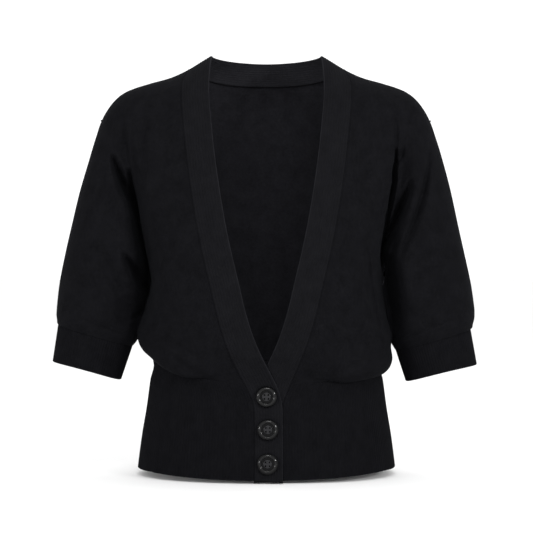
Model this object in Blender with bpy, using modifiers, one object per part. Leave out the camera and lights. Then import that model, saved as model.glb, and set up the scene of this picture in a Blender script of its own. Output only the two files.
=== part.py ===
"""Cropped batwing cardigan in black knit, worn and hollow, fastened at its ribbed waistband.

Lengths in this file are millimetres, and each mesh is scaled to metres when it is made.
X runs to the viewer's right, Y to the back and Z up. The origin lies between the shoulders,
at the height of the middle of the shoulder seams, in the plane of the over-arm seams.

Both halves are worked out in one half-plane: q is the distance from the centre line and z the
height. `depth` gives how far the front or the back cloth lies from the plane of the over-arm seams.
"""
import math

import bmesh
import bpy
import numpy as np
from mathutils import Matrix, Vector

MM = 0.001

# Driving dimensions, in millimetres.
CLOTH = 1.6            # wall of the plain knit
RIB_WALL = 1.9         # wall of the rib knit under its ribs
RIB_RELIEF = 0.5       # how far a rib stands out
RIB_PITCH = 3.3        # one rib and one groove
SEAM_GAP = 0.3         # space between two pieces at a seam
RIM_GAP = 0.4          # space between the blouse and the rim that it lies on
BAND_WIDTH = 33.0      # ribbed front band
BAND_RIBS = 10
PLACKET_CENTRE = 2.0   # the fastened bands lie this far to the viewer's right of the centre
OVERLAP = 1.4          # each fastened band lies this far from the surface that they share
BACK_NECK = 5.0        # height of the band seam at the centre back
BACK_NECK_EDGE = 31.0  # height of the band's free edge at the centre back
APEX = -318.0          # height of the underarm point
LEFT_DROP = 4.0        # the wearer's left underarm point and cuff hang lower by this
SIDE_REACH = 75.0      # where the shoulder column of the back lies at the level of the underarm
ROUND_SHOULDER = 75.0  # distance from the over-arm seam at which the body has its full depth
ROUND_SLEEVE = 46.0    # distance from a sleeve's edge at which it has its full depth
VALLEY_WIDTH = 11.0    # half width of the fold between the body and a sleeve
OVAL_WIDTH = 2.4       # exponents of the body's rounded oval sections
OVAL_DEPTH = 2.2
CUFF_DEPTH = {"top": 49.0, "hem": 47.0}
CUFF_LIFT = {"top": 0.0, "hem": 3.0}   # the hem is higher in front and behind than at its sides
PLACKET_FOOT = {"seam": -482.3, "edge": -485.1}
BREAKS = (-388.0, -430.0)   # heights at which the edges of the waistband bend
# Heights of the rows across the fastened bands, closest where the bands are most curved.
PLACKET_ROWS = (-378.0, -388.0, -399.0, -413.0, -430.0, -447.0, -464.0)
OVERLAP_FADE = {"q": (30.0, 95.0), "z": (-320.0, -250.0)}   # where the overlap's shift dies out
CENTRE_FADE = (-390.0, -330.0)   # heights between which the placket comes back to the centre
NECK_TURN = -13.0      # height from which the band's width turns into the slope of the shoulder
LINE_POINTS = 400      # points of the curves that are read by interpolation
SETTLING = 5           # rounds in which a height and a half width that need each other settle
WAIST_CENTRE = (0.0, 0.0, -420.0)
BAND_CENTRE = (0.0, 0.0, -200.0)

# Grid of the cloth pieces.
ROWS = 15
ROW_SPREAD = 1.5
NECK_COLUMNS = 5
BODY_COLUMNS = 8
SLEEVE_COLUMNS = 9
INNER_STEP = 4         # the plain inside has one column for every four outside

# Outline from the neck over the shoulder and down the outside of the sleeve.
OVER_ARM = (("q", "z"), (
    (0.0, 52.0), (22.0, 50.0), (46.0, 43.0), (68.75, 35.0), (97.7, 17.2), (115.6, 8.75),
    (145.6, 0.0), (165.6, -6.25), (175.6, -10.5), (185.6, -17.5), (195.6, -28.75),
    (205.6, -46.25), (213.0, -67.5), (222.0, -97.5), (233.0, -135.0), (242.0, -172.5),
    (250.6, -210.0), (258.0, -247.5), (261.5, -278.0), (264.0, -345.0)))
NECK_POINT = (68.75, 35.0)     # where the band's free edge crosses the shoulder
BAND_SHOULDER = (97.7, 17.2)   # where the band's seam crosses it
SHOULDER_TIP = 205.6
SLEEVE_END = -278.0
BEYOND_CENTRE = 60.0   # the over-arm line runs on past the centre, so that distances hold there
OUTLINE_POINTS = 100

# Free edge of the front band, which forms the V and then the placket.
V_EDGE = (("z", "q"), (
    (35.0, 68.75), (14.0, 70.2), (-13.0, 70.5), (-52.0, 67.5), (-101.0, 61.8), (-149.0, 54.6),
    (-197.0, 45.6), (-244.0, 34.6), (-291.0, 23.0), (-315.0, 15.0), (-338.0, 5.2),
    (-362.0, -6.0), (-376.0, -12.0), (-392.0, -15.6), (-415.0, -16.4), (-490.0, -16.4)))

# Sections of the body: half width, and depth to the front and to the back.
BODY = (("z", "half_width", "front", "back"), (
    (60.0, 160.0, 45.0, 60.0), (33.0, 168.0, 56.0, 72.0), (5.0, 174.0, 66.0, 80.0),
    (-20.0, 177.0, 73.0, 87.0), (-52.0, 177.0, 84.0, 93.0), (-101.0, 173.0, 99.0, 99.0),
    (-149.0, 166.0, 109.0, 101.0), (-197.0, 158.0, 114.0, 101.0), (-240.0, 152.0, 116.0, 100.0),
    (-285.0, 154.5, 116.0, 98.0), (-318.0, 160.6, 113.0, 96.0), (-332.0, 150.0, 110.5, 92.0),
    (-345.0, 141.0, 105.0, 88.0), (-369.0, 144.6, 97.0, 85.0), (-405.0, 149.5, 98.2, 88.0),
    (-435.0, 154.5, 100.0, 92.0), (-490.0, 161.5, 103.5, 98.5)))

# Sleeve tube: the line of its inner edge, its depth, and the softness of its join to the body.
SLEEVE = (("z", "inner_q", "depth", "blend"), (
    (40.0, 20.0, 40.0, 60.0), (0.0, 40.0, 47.0, 55.0), (-60.0, 62.0, 53.0, 45.0),
    (-150.0, 104.0, 57.0, 28.0), (-240.0, 134.0, 56.0, 14.0), (-290.0, 151.0, 54.0, 4.0),
    (-318.0, 160.6, 52.0, 0.0), (-368.0, 182.0, 50.0, 0.0)))
INNER_SLANT = 0.947    # cosine of the slant of the sleeve's inner edge

# Deep fold between the body and the sleeve: its line, and the share of the depth that it takes.
VALLEY = (("z", "q", "share"), (
    (-10.0, 176.0, 0.0), (-55.0, 173.0, 0.02), (-99.0, 168.0, 0.16), (-141.0, 163.0, 0.28),
    (-190.0, 155.0, 0.38), (-227.0, 149.0, 0.42), (-255.0, 148.0, 0.40), (-287.0, 154.0, 0.26),
    (-318.0, 160.6, 0.0)))
BACK_VALLEY = 0.6      # the fold at the back, as a share of the one at the front

# The wearer's left half is a little narrower than the right: factors at the side of the body,
# and at the outside of the sleeve.
NARROWING = (("z", "body", "sleeve"), (
    (60.0, 1.0, 1.0), (-46.0, 0.99, 0.992), (-90.0, 0.987, 0.995), (-150.0, 0.984, 0.988),
    (-200.0, 0.98, 0.986), (-240.0, 0.976, 0.989), (-290.0, 0.97, 0.995),
    (-318.0, 0.967, 0.998), (-365.0, 0.985, 1.0)))

# How the body blouses over the waistband, and a sleeve eases into its cuff: share of the way out
# from the rim, and share of the height above it. The body hangs over less at its sides.
BODY_ROLL = {
    "middle": (("out", "height"), (
        (1.00, 1.00), (1.04, 0.70), (1.04, 0.42), (0.95, 0.17), (0.72, 0.01), (0.40, -0.04),
        (0.12, 0.00), (-0.09, 0.00))),
    "right": (("out", "height"), (
        (1.00, 1.00), (0.87, 0.72), (0.62, 0.44), (0.28, 0.22), (0.10, 0.10), (0.02, 0.04),
        (-0.04, 0.00), (-0.09, 0.00))),
    "left": (("out", "height"), (
        (1.00, 1.00), (0.98, 0.80), (1.10, 0.47), (0.86, 0.20), (0.42, 0.03), (0.20, 0.00),
        (0.04, 0.00), (-0.09, 0.00)))}
SLEEVE_ROLL = (("out", "height"), (
    (1.00, 1.00), (0.75, 0.55), (0.44, 0.24), (0.20, 0.02), (-0.25, 0.00)))
ROLL_FADE = 3.0        # columns over which the blouse grows from the flat band
SIDE_ROLL = (0.3, 0.9) # shares of the columns between which the sides' roll takes over

# Heights of the waistband's top and hem.
WAIST_TOP = {"front": -369.0, "back": -352.0, "right": -345.0, "left": -361.0}
WAIST_HEM = {"front": -481.4, "back": -479.0, "right": -476.4, "left": -475.6}
WAIST_REACH = 141.0

# Corners of each cuff in the plane of the over-arm seam: outer q, outer z, inner q, inner z.
CUFFS = {
    "right": {"top": (259.5, -300.0, 168.0, -327.0), "hem": (266.3, -345.0, 181.9, -368.0)},
    "left": {"top": (254.2, -306.0, 162.0, -332.5), "hem": (261.9, -348.8, 174.2, -370.0)}}
CUFF_RIBS = 90

# Buttons: name, x and z of the centre on the placket.
BUTTONS = (("button_top", -0.1, -382.9), ("button_middle", 1.6, -421.8),
           ("button_bottom", 1.3, -462.2))
BUTTON_RADIUS = 12.5
BUTTON_THICKNESS = 4.2
BUTTON_SHANK = 0.9     # thread shank between the ribs and the button
# Half section of a button: distance from its axis, and height as a share of its thickness. The
# face is dished 1.3 mm deep inside a rounded rim 3.4 mm wide, and the back is domed.
BUTTON_PROFILE = (("radius", "height"), (
    (0.0, 0.19), (7.9, 0.19), (9.1, 0.43), (10.3, 0.50), (11.4, 0.45), (12.5, 0.19),
    (12.0, -0.286), (9.5, -0.50), (0.0, -0.50)))
HOLE_RADIUS = 1.1
HOLE_RING = 3.2        # holes lie on a circle of this radius, halfway between upright and level
BUTTON_SIDES = 20
HOLE_SIDES = 6

SIDES = {"right": -1.0, "left": 1.0}   # the wearer's right is at the viewer's left

KNIT_BLACK = "1B1B1D"
RIB_BLACK = "19191B"
BUTTON_BLACK = "0C0C0D"


# ---------------------------------------------------------------- numbers and curves

def read(table, key, name, at):
    """Smooth curve through two named columns of a table: cubic Hermite with central slopes."""
    names, rows = table
    grid = np.array(rows, float)
    grid = grid[np.argsort(grid[:, names.index(key)])]
    keys, values = grid[:, names.index(key)], grid[:, names.index(name)]
    slopes = np.gradient(values, keys)
    at = np.clip(at, keys[0], keys[-1])
    k = np.clip(np.searchsorted(keys, at) - 1, 0, len(keys) - 2)
    span = keys[k + 1] - keys[k]
    t = (at - keys[k]) / span
    return ((2 * t**3 - 3 * t**2 + 1) * values[k] + (t**3 - 2 * t**2 + t) * span * slopes[k]
            + (3 * t**2 - 2 * t**3) * values[k + 1] + (t**3 - t**2) * span * slopes[k + 1])


def ease(value, start, end):
    """0 before start, 1 after end, and a smooth step between them."""
    t = np.clip((value - start) / (end - start), 0.0, 1.0)
    return t * t * (3 - 2 * t)


def rise(share):
    """Quarter ellipse: 0 with an upright tangent at 0, 1 and level from 1 on."""
    share = np.clip(share, 0.0, 1.0)
    return np.sqrt(1 - (1 - share) ** 2)


def unit(vectors):
    """The same vectors with length one."""
    return vectors / np.linalg.norm(vectors, axis=-1, keepdims=True)


def over_arm_outline():
    """Points along the over-arm line, from beyond the centre over the shoulder to the cuff."""
    q = np.linspace(-BEYOND_CENTRE, SHOULDER_TIP, OUTLINE_POINTS)
    z = np.linspace(read(OVER_ARM, "q", "z", SHOULDER_TIP), OVER_ARM[1][-1][1], OUTLINE_POINTS)[1:]
    top = np.stack([q, read(OVER_ARM, "q", "z", np.abs(q))], axis=-1)
    outside = np.stack([read(OVER_ARM, "z", "q", z), z], axis=-1)
    return np.concatenate([top, outside])


OUTLINE = over_arm_outline()


def outline_distance(q, z):
    """Shortest distance from points of the half-plane to the over-arm line."""
    start, step = OUTLINE[:-1], np.diff(OUTLINE, axis=0)
    offset = np.stack([q, z], axis=-1)[..., None, :] - start
    share = np.clip((offset * step).sum(-1) / (step**2).sum(-1), 0.0, 1.0)
    gap = offset - share[..., None] * step
    return np.sqrt((gap**2).sum(-1)).min(-1)


# ---------------------------------------------------------------- the surface of the cloth

def body_depth(q, z, face):
    """Rounded oval section of the body: depth * (1 - (q / half width)^a)^(1 / b)."""
    reach = np.clip(np.abs(q) / read(BODY, "z", "half_width", z), 0.0, 1.0)
    return read(BODY, "z", face, z) * (1 - reach**OVAL_WIDTH) ** (1 / OVAL_DEPTH)


def depth(q, z, face):
    """Depth of the cloth over the body and the sleeve.

    The body's oval and the sleeve's oval both rise from the over-arm line as a quarter ellipse,
    they are joined by a soft maximum, and a fold is pressed in where they meet.
    """
    edge = outline_distance(q, z)
    body = body_depth(q, z, face) * rise(edge / ROUND_SHOULDER)
    inside = (q - read(SLEEVE, "z", "inner_q", z)) * INNER_SLANT
    sleeve = read(SLEEVE, "z", "depth", z) * rise(edge / ROUND_SLEEVE) * rise(inside / ROUND_SLEEVE)
    soft = np.maximum(read(SLEEVE, "z", "blend", z) * rise(edge / ROUND_SLEEVE), 1e-6)
    near = np.maximum(soft - np.abs(body - sleeve), 0.0) / soft
    joined = np.maximum(body, sleeve) + near**2 * soft / 4
    share = read(VALLEY, "z", "share", z) * (1.0 if face == "front" else BACK_VALLEY)
    fold = np.exp(-((q - read(VALLEY, "z", "q", z)) / VALLEY_WIDTH) ** 2)
    return joined * (1 - share * fold)


def overlap_shift(side, q, z):
    """Outward shift of the right front and inward shift of the left one round the placket."""
    near = (1 - ease(np.abs(q), *OVERLAP_FADE["q"])) * (1 - ease(z, *OVERLAP_FADE["z"]))
    return -SIDES[side] * OVERLAP * near


def centre_shift(z):
    """The fastened bands lie beside the centre line; the V above them is centred."""
    return PLACKET_CENTRE * (1 - ease(z, *CENTRE_FADE))


def band_lines():
    """The free edge and the seam of the front band: pairs of points a band's width apart.

    The seam is the edge moved outward along its normal, which turns into the slope of the
    shoulder at the top. Columns: edge q, edge z, seam q, seam z, from the shoulder down.
    """
    z = np.linspace(V_EDGE[1][0][0], V_EDGE[1][-1][0], LINE_POINTS)
    q = read(V_EDGE, "z", "q", z)
    along = np.stack([np.gradient(q), np.gradient(z)], axis=-1)
    across = unit(np.stack([-along[:, 1], along[:, 0]], axis=-1))
    slope = unit(np.subtract(BAND_SHOULDER, NECK_POINT))
    turn = ease(z, NECK_TURN, NECK_POINT[1])[:, None]
    across = unit(across * (1 - turn) + slope * turn)
    return np.column_stack([q, z, q + BAND_WIDTH * across[:, 0], z + BAND_WIDTH * across[:, 1]])


BAND_LINES = band_lines()
SHOULDER_SEAM_Q = BAND_LINES[0, 2]


def seam_q(z):
    """Distance of the band's seam from the centre line at a height."""
    return np.interp(z, BAND_LINES[::-1, 3], BAND_LINES[::-1, 2])


def edge_of_seam(z):
    """The point of the band's free edge that lies opposite its seam at a height."""
    return tuple(np.interp(z, BAND_LINES[::-1, 3], BAND_LINES[::-1, k]) for k in (0, 1))


def waist_height(heights, side, q, face):
    """Height of the waistband's top or hem: level at the side, then along a parabola."""
    reach = np.clip(np.abs(q) / WAIST_REACH, 0.0, 1.0)
    return heights[side] + (heights[face] - heights[side]) * (1 - reach**2)


# ---------------------------------------------------------------- grids of the cloth pieces

def upper_grid(side, face):
    """Points of one half of a piece from the neck and shoulder down to the underarm.

    Columns run down from the over-arm line: at the back first those under the neck, then those
    of the body, which end at the deep fold, then those of the sleeve.
    """
    share = (np.arange(ROWS + 1) / ROWS) ** ROW_SPREAD
    share = share[:, None]
    body = np.sin(np.pi / 2 * np.arange(BODY_COLUMNS + 1) / BODY_COLUMNS)
    sleeve = (1 - np.cos(np.pi * np.arange(1, SLEEVE_COLUMNS + 1) / SLEEVE_COLUMNS)) / 2
    fold_top = VALLEY[1][0][1]
    start_q = np.concatenate([SHOULDER_SEAM_Q + (fold_top - SHOULDER_SEAM_Q) * body,
                              fold_top + (SHOULDER_TIP - fold_top) * sleeve])
    start_z = read(OVER_ARM, "q", "z", start_q)
    end_z = np.concatenate([np.full(BODY_COLUMNS + 1, APEX),
                            APEX + (SLEEVE_END - APEX) * sleeve])
    z = start_z + (end_z - start_z) * share
    fold_q = read(VALLEY, "z", "q", z[:, BODY_COLUMNS])[:, None]
    outer_q = read(OVER_ARM, "z", "q", z[:, -1])[:, None]
    if face == "front":
        first_q = seam_q(z[:, 0])[:, None]
        first_q[0] = SHOULDER_SEAM_Q
    else:
        first_q = SHOULDER_SEAM_Q + (SIDE_REACH - SHOULDER_SEAM_Q) * share
    q = np.concatenate([first_q + (fold_q - first_q) * body,
                        fold_q + (outer_q - fold_q) * sleeve], axis=1)
    q[0] = start_q
    y = depth(q, z, face)
    y[0] = 0.0
    y[:, -1] = 0.0
    y[-1, BODY_COLUMNS] = 0.0
    if face == "back":
        turn = np.pi / 2 * (1 - np.arange(NECK_COLUMNS) / NECK_COLUMNS)
        neck_z = BACK_NECK + (start_z[0] - BACK_NECK) * np.cos(turn) ** 3
        neck_z = neck_z + (APEX - neck_z) * share
        neck_q = first_q * (np.cos(turn) * (1 - share) + (1 - 2 * turn / np.pi) * share)
        q = np.concatenate([neck_q, q], axis=1)
        z = np.concatenate([neck_z, z], axis=1)
        y = np.concatenate([depth(neck_q, neck_z, face), y], axis=1)
    return place_half(side, face, q, z, y)


def place_half(side, face, q, z, y):
    """Put a half into the garment: narrow and lower the left one towards the side, mirror it."""
    first = 0 if face == "front" else NECK_COLUMNS
    columns = q.shape[1]
    weight = np.clip((np.arange(columns) - first) / BODY_COLUMNS, 0.0, 1.0)
    if side == "left":
        outside = np.clip((np.arange(columns) - first - BODY_COLUMNS) / SLEEVE_COLUMNS, 0.0, 1.0)
        factor = (read(NARROWING, "z", "body", z) * (1 - outside)
                  + read(NARROWING, "z", "sleeve", z) * outside)
        q = q * (1 - weight * (1 - factor))
        z = z - LEFT_DROP * weight * np.clip(z / APEX, 0.0, 1.0)
    if face == "front":
        y = -(y + np.where(y > 0, overlap_shift(side, q, z), 0.0))
    x = SIDES[side] * q
    if face == "front":
        x = x + centre_shift(z) * (1 - weight)
    return np.stack([x, y, z], axis=-1)


def roll_down(start, rim, up, shares):
    """Loft from a row of points down to a rim, by shares of the way out and of the height."""
    drop = start - rim
    height = (drop * up).sum(-1, keepdims=True) * up
    outward = drop - height
    return rim + shares[..., 0, None] * outward + shares[..., 1, None] * height


def body_grid(side, face, start):
    """Body below the underarm, bloused over the waistband; beside the band it runs straight."""
    first = 0 if face == "front" else NECK_COLUMNS
    count = start.shape[0]
    rows = len(BODY_ROLL["middle"][1]) - 1
    sign = SIDES[side]
    share = np.clip(np.arange(count) - first, 0, None) / BODY_COLUMNS
    spread = np.sin(np.pi / 2 * share)
    rim_z = np.full(count, WAIST_TOP[face])
    for _ in range(SETTLING):
        half_width = read(BODY, "z", "half_width", rim_z)
        if face == "front":
            first_q = seam_q(rim_z[0])
            rim_q = first_q + (half_width - first_q) * spread
        else:
            neck = np.clip(np.arange(count) / NECK_COLUMNS, 0.0, 1.0)
            rim_q = SIDE_REACH * neck + (half_width - SIDE_REACH) * spread
        rim_z = waist_height(WAIST_TOP, side, rim_q, face) + RIM_GAP
    rim = surface_points(side, face, rim_q, rim_z, (1 - spread))
    at_side = ease(share, *SIDE_ROLL)[:, None]
    middle, edge = (np.array(BODY_ROLL[name][1])[:, None] for name in ("middle", side))
    rolled = roll_down(start, rim, np.array([0.0, 0.0, 1.0]),
                       middle * (1 - at_side) + edge * at_side)
    if face == "back":
        return rolled
    share = (np.arange(rows + 1) / rows)[:, None]
    z = start[:, 2] + (rim[:, 2] - start[:, 2]) * share
    q = np.abs(start[:, 0]) + (np.abs(rim[:, 0]) - np.abs(start[:, 0])) * share
    q[:, 0] = seam_q(z[:, 0])
    straight = surface_points(side, face, q, z, (1 - spread))
    straight[0] = start
    weight = ease(np.arange(count), 0.0, ROLL_FADE)[:, None]
    return straight * (1 - weight) + rolled * weight


def surface_points(side, face, q, z, centre_weight):
    """Points on the body's ovals, with the shifts of the placket on the front."""
    y = body_depth(q, z, face)
    x = SIDES[side] * q
    if face == "front":
        y = -(y + np.where(y > 0, overlap_shift(side, q, z), 0.0))
        x = x + centre_shift(z) * centre_weight
    return np.stack([x, y + 0.0, z], axis=-1)


def cuff_ring(side, level, turn):
    """Points of a cuff's oval at turns from its inner edge over the front, and its up direction."""
    outer_q, outer_z, inner_q, inner_z = CUFFS[side][level]
    outer = np.array([SIDES[side] * outer_q, 0.0, outer_z])
    inner = np.array([SIDES[side] * inner_q, 0.0, inner_z])
    centre, reach = (outer + inner) / 2, (outer - inner) / 2
    up = unit(np.array([-reach[2], 0.0, reach[0]]))
    up = up * np.sign(up[2])
    cos, sin = np.cos(turn)[:, None], np.sin(turn)[:, None]
    forward = np.array([0.0, -CUFF_DEPTH[level], 0.0])
    lift = CUFF_LIFT[level] * up * sin**2
    return centre - reach * cos + forward * sin + lift, up


def sleeve_grid(side, face, start):
    """Sleeve below the underarm, lying a little over its cuff."""
    turn = np.pi * np.arange(SLEEVE_COLUMNS + 1) / SLEEVE_COLUMNS
    rim, up = cuff_ring(side, "top", turn if face == "front" else -turn)
    rim[[0, -1], 1] = 0.0
    return roll_down(start, rim + RIM_GAP * up, up, np.array(SLEEVE_ROLL[1])[:, None])


def piece_patches(side, face):
    """The three grids of one half of a piece, with whether their rows and columns are turned."""
    upper = upper_grid(side, face)
    first = 0 if face == "front" else NECK_COLUMNS
    fold = first + BODY_COLUMNS
    body = body_grid(side, face, upper[-1, :fold + 1])
    sleeve = sleeve_grid(side, face, upper[-1, fold:])
    turned = (side == "right") == (face == "front")
    return [(grid, turned) for grid in (upper, body, sleeve)]


# ---------------------------------------------------------------- sheets and walls

def stitch(patches):
    """Join grids that share edge points into one list of points and quads facing outward."""
    points, quads, count = [], [], 0
    for grid, turned in patches:
        rows, columns = grid.shape[:2]
        index = np.arange(rows * columns).reshape(rows, columns) + count
        quad = np.stack([index[:-1, :-1], index[1:, :-1], index[1:, 1:], index[:-1, 1:]], axis=-1)
        quad = quad.reshape(-1, 4)
        quads.append(quad[:, ::-1] if turned else quad)
        points.append(grid.reshape(-1, 3))
        count += rows * columns
    points = np.round(np.concatenate(points), 4) + 0.0
    points, merged = np.unique(points, axis=0, return_inverse=True)
    return points, merged.reshape(-1)[np.concatenate(quads)]


def vertex_normals(points, quads):
    """Normals weighted by the area of the quads round each point."""
    corner = points[quads]
    face = np.cross(corner[:, 2] - corner[:, 0], corner[:, 3] - corner[:, 1])
    normals = np.zeros_like(points)
    for k in range(4):
        np.add.at(normals, quads[:, k], face)
    return unit(normals)


def free_edges(quads):
    """Directed edges that only one quad uses."""
    edges = {}
    for number, quad in enumerate(quads):
        for k in range(4):
            edges[(quad[k], quad[(k + 1) % 4])] = number
    return [edge for edge in edges if (edge[1], edge[0]) not in edges]


def draw_in_edges(points, quads, normals, distance):
    """Move each free edge into its own piece, within the surface, by a distance."""
    inward = np.zeros_like(points)
    for start, end in free_edges(quads):
        along = points[end] - points[start]
        for corner in (start, end):
            step = np.cross(normals[corner], along)
            inward[corner] += step / np.linalg.norm(step)
    length = np.linalg.norm(inward, axis=1)
    moved = length > 0
    share = np.clip(2.0 / np.maximum(length, 1e-9), 1.0, 2.0)
    points = points.copy()
    points[moved] += (inward * (distance * share / np.maximum(length, 1e-9))[:, None])[moved]
    return points


def wall(points, quads, normals, thickness):
    """Close a sheet into a wall: outer quads, inner quads and a rim along each free edge."""
    count = len(points)
    inner = quads[:, ::-1] + count
    rim = [(end, start, start + count, end + count) for start, end in free_edges(quads)]
    return (np.concatenate([points, points - normals * thickness]),
            [tuple(quad) for quad in np.concatenate([quads, inner])] + rim)


def ribbed_wall(grid, normals, closed):
    """Wall with ribs raised in its outer points over a plain, coarser inside.

    Rows run down and columns across the ribs. The rims join every four outer columns to one
    inner column with a single flat face.
    """
    rows, columns = grid.shape[:2]
    raised = (np.arange(columns) % 2)[None, :, None]
    outer = grid + normals * raised * RIB_RELIEF
    inner = (grid - normals * RIB_WALL)[:, ::INNER_STEP]
    spans = columns if closed else columns - 1
    inner_columns = inner.shape[1]
    inner_spans = inner_columns if closed else inner_columns - 1
    first_inner = rows * columns

    def out(row, column):
        return row * columns + column % columns

    def inn(row, column):
        return first_inner + row * inner_columns + column % inner_columns

    faces = []
    for row in range(rows - 1):
        faces += [(out(row, c), out(row + 1, c), out(row + 1, c + 1), out(row, c + 1))
                  for c in range(spans)]
        faces += [(inn(row, c), inn(row, c + 1), inn(row + 1, c + 1), inn(row + 1, c))
                  for c in range(inner_spans)]
        if not closed:
            faces.append((out(row, 0), inn(row, 0), inn(row + 1, 0), out(row + 1, 0)))
            faces.append((out(row, columns - 1), out(row + 1, columns - 1),
                          inn(row + 1, inner_columns - 1), inn(row, inner_columns - 1)))
    for c in range(inner_spans):
        top = [out(0, INNER_STEP * c + k) for k in range(INNER_STEP + 1)]
        foot = [out(rows - 1, INNER_STEP * c + k) for k in range(INNER_STEP, -1, -1)]
        faces.append(tuple(top + [inn(0, c + 1), inn(0, c)]))
        faces.append(tuple(foot + [inn(rows - 1, c), inn(rows - 1, c + 1)]))
    points = np.concatenate([outer.reshape(-1, 3), inner.reshape(-1, 3)])
    return points, faces


def grid_normals(grid, closed, away_from):
    """Normals of a grid from its central differences, turned away from a point's axis."""
    down = np.gradient(grid, axis=0)
    if closed:
        across = np.roll(grid, -1, axis=1) - np.roll(grid, 1, axis=1)
    else:
        across = np.gradient(grid, axis=1)
    normals = unit(np.cross(down, across))
    if ((grid - away_from) * normals).sum() < 0:
        normals = -normals
    return normals


# ---------------------------------------------------------------- ribbed pieces

def even_ribs(length):
    """Number of outer columns for a length: two to a rib, a multiple of the inner step."""
    return INNER_STEP * max(round(2 * length / RIB_PITCH / INNER_STEP), 1)


def spaced_row(points, spans, inset):
    """Points at equal steps along a polyline, kept clear of its two ends by an inset."""
    steps = np.linalg.norm(np.diff(points, axis=0), axis=1)
    travelled = np.concatenate([[0.0], np.cumsum(steps)])
    wanted = np.linspace(inset, travelled[-1] - inset, spans + 1)
    return np.stack([np.interp(wanted, travelled, points[:, k]) for k in range(3)], axis=-1)


def waist_row(side, face, share):
    """Line round half of the waistband at a share of its height, from the middle to the side."""
    q = np.zeros(LINE_POINTS)
    z = np.full(LINE_POINTS, WAIST_TOP[face])
    turn = np.linspace(0.0, 1.0, LINE_POINTS)
    for _ in range(SETTLING):
        half_width = read(BODY, "z", "half_width", z)
        start = seam_q(z[0]) if face == "front" else 0.0
        begin = np.arcsin(start / half_width[0])
        q = half_width * np.sin(begin + (np.pi / 2 - begin) * turn)
        top = waist_height(WAIST_TOP, side, q, face)
        hem = waist_height(WAIST_HEM, side, q, face)
        z = top + (hem - top) * share
    points = surface_points(side, face, q, z, np.clip(1 - (q - q[0]) / WAIST_REACH, 0.0, 1.0))
    points[-1, 1] = 0.0
    return points


def waistband_front(side):
    """Waistband of one front, from the band's seam to the side seam."""
    top, hem = WAIST_TOP["front"], WAIST_HEM["front"]
    shares = [0.0] + [(height - top) / (hem - top) for height in BREAKS] + [1.0]
    rows = [waist_row(side, "front", share) for share in shares]
    length = np.linalg.norm(np.diff(rows[0], axis=0), axis=1).sum()
    spans = even_ribs(length)
    grid = np.array([spaced_row(row, spans, SEAM_GAP / 2) for row in rows])
    normals = grid_normals(grid, False, np.array(WAIST_CENTRE))
    return ribbed_wall(grid, normals, False)


def waistband_back():
    """Waistband of the back, from side seam to side seam."""
    rows = []
    for share in (0.0, 0.5, 1.0):
        right, left = (waist_row(side, "back", share) for side in ("right", "left"))
        rows.append(np.concatenate([right[::-1], left[1:]]))
    length = np.linalg.norm(np.diff(rows[0], axis=0), axis=1).sum()
    spans = even_ribs(length)
    grid = np.array([spaced_row(row, spans, SEAM_GAP / 2) for row in rows])
    normals = grid_normals(grid, False, np.array(WAIST_CENTRE))
    return ribbed_wall(grid, normals, False)


def cuff(side):
    """Ribbed cuff: a short tube between two ovals."""
    turn = 2 * np.pi * np.arange(2 * CUFF_RIBS) / (2 * CUFF_RIBS)
    grid = np.array([cuff_ring(side, level, turn)[0] for level in ("top", "hem")])
    normals = grid_normals(grid, True, grid.mean(axis=(0, 1)))
    return ribbed_wall(grid, normals, True)


def band_half(side, front_seam):
    """Rows across one half of the front band, from its foot up the V to the centre back.

    In front each row starts at the seam point of the front piece and ends at the free edge
    opposite it. Behind the shoulder both lines turn with the neck: q falls as a cosine.
    """
    across = np.linspace(0.0, 1.0, 2 * BAND_RIBS + 1)
    top, hem = WAIST_TOP["front"], WAIST_HEM["front"]
    corners = np.array([top, *BREAKS, hem])
    seam_z = np.concatenate([front_seam[1:, 2], PLACKET_ROWS, [hem]])
    seam = np.where(seam_z < top, np.interp(seam_z, corners[::-1], seam_q(corners[::-1])),
                    seam_q(seam_z))
    edge_q, edge_z = edge_of_seam(seam_z)
    foot = np.array([[seam[-1], PLACKET_FOOT["seam"], edge_q[-1], PLACKET_FOOT["edge"]]])
    lines = np.concatenate([np.column_stack([seam, seam_z, edge_q, edge_z]), foot])[::-1]
    q = lines[:, :1] + (lines[:, 2:3] - lines[:, :1]) * across
    z = lines[:, 1:2] + (lines[:, 3:4] - lines[:, 1:2]) * across
    y = np.where(z > APEX, depth(np.abs(q), z, "front"), body_depth(q, z, "front"))
    y = -(y + overlap_shift(side, q, z))
    x = SIDES[side] * q + centre_shift(z)
    front = np.stack([x, y, z], axis=-1)
    turn = np.pi / 2 * np.arange(NECK_COLUMNS + 1) / NECK_COLUMNS
    turn = turn[:, None]
    shoulder_edge, shoulder_seam = BAND_LINES[0, :2], BAND_LINES[0, 2:]
    seam_line_z = BACK_NECK + (shoulder_seam[1] - BACK_NECK) * np.cos(turn) ** 3
    edge_line_z = BACK_NECK_EDGE + (shoulder_edge[1] - BACK_NECK_EDGE) * np.cos(turn) ** 2
    q = (shoulder_seam[0] * (1 - across) + shoulder_edge[0] * across) * np.cos(turn)
    z = seam_line_z * (1 - across) + edge_line_z * across
    y = depth(q, z, "back")
    y[0] = 0.0
    behind = np.stack([SIDES[side] * q, y, z], axis=-1)
    return np.concatenate([front, behind])


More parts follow.
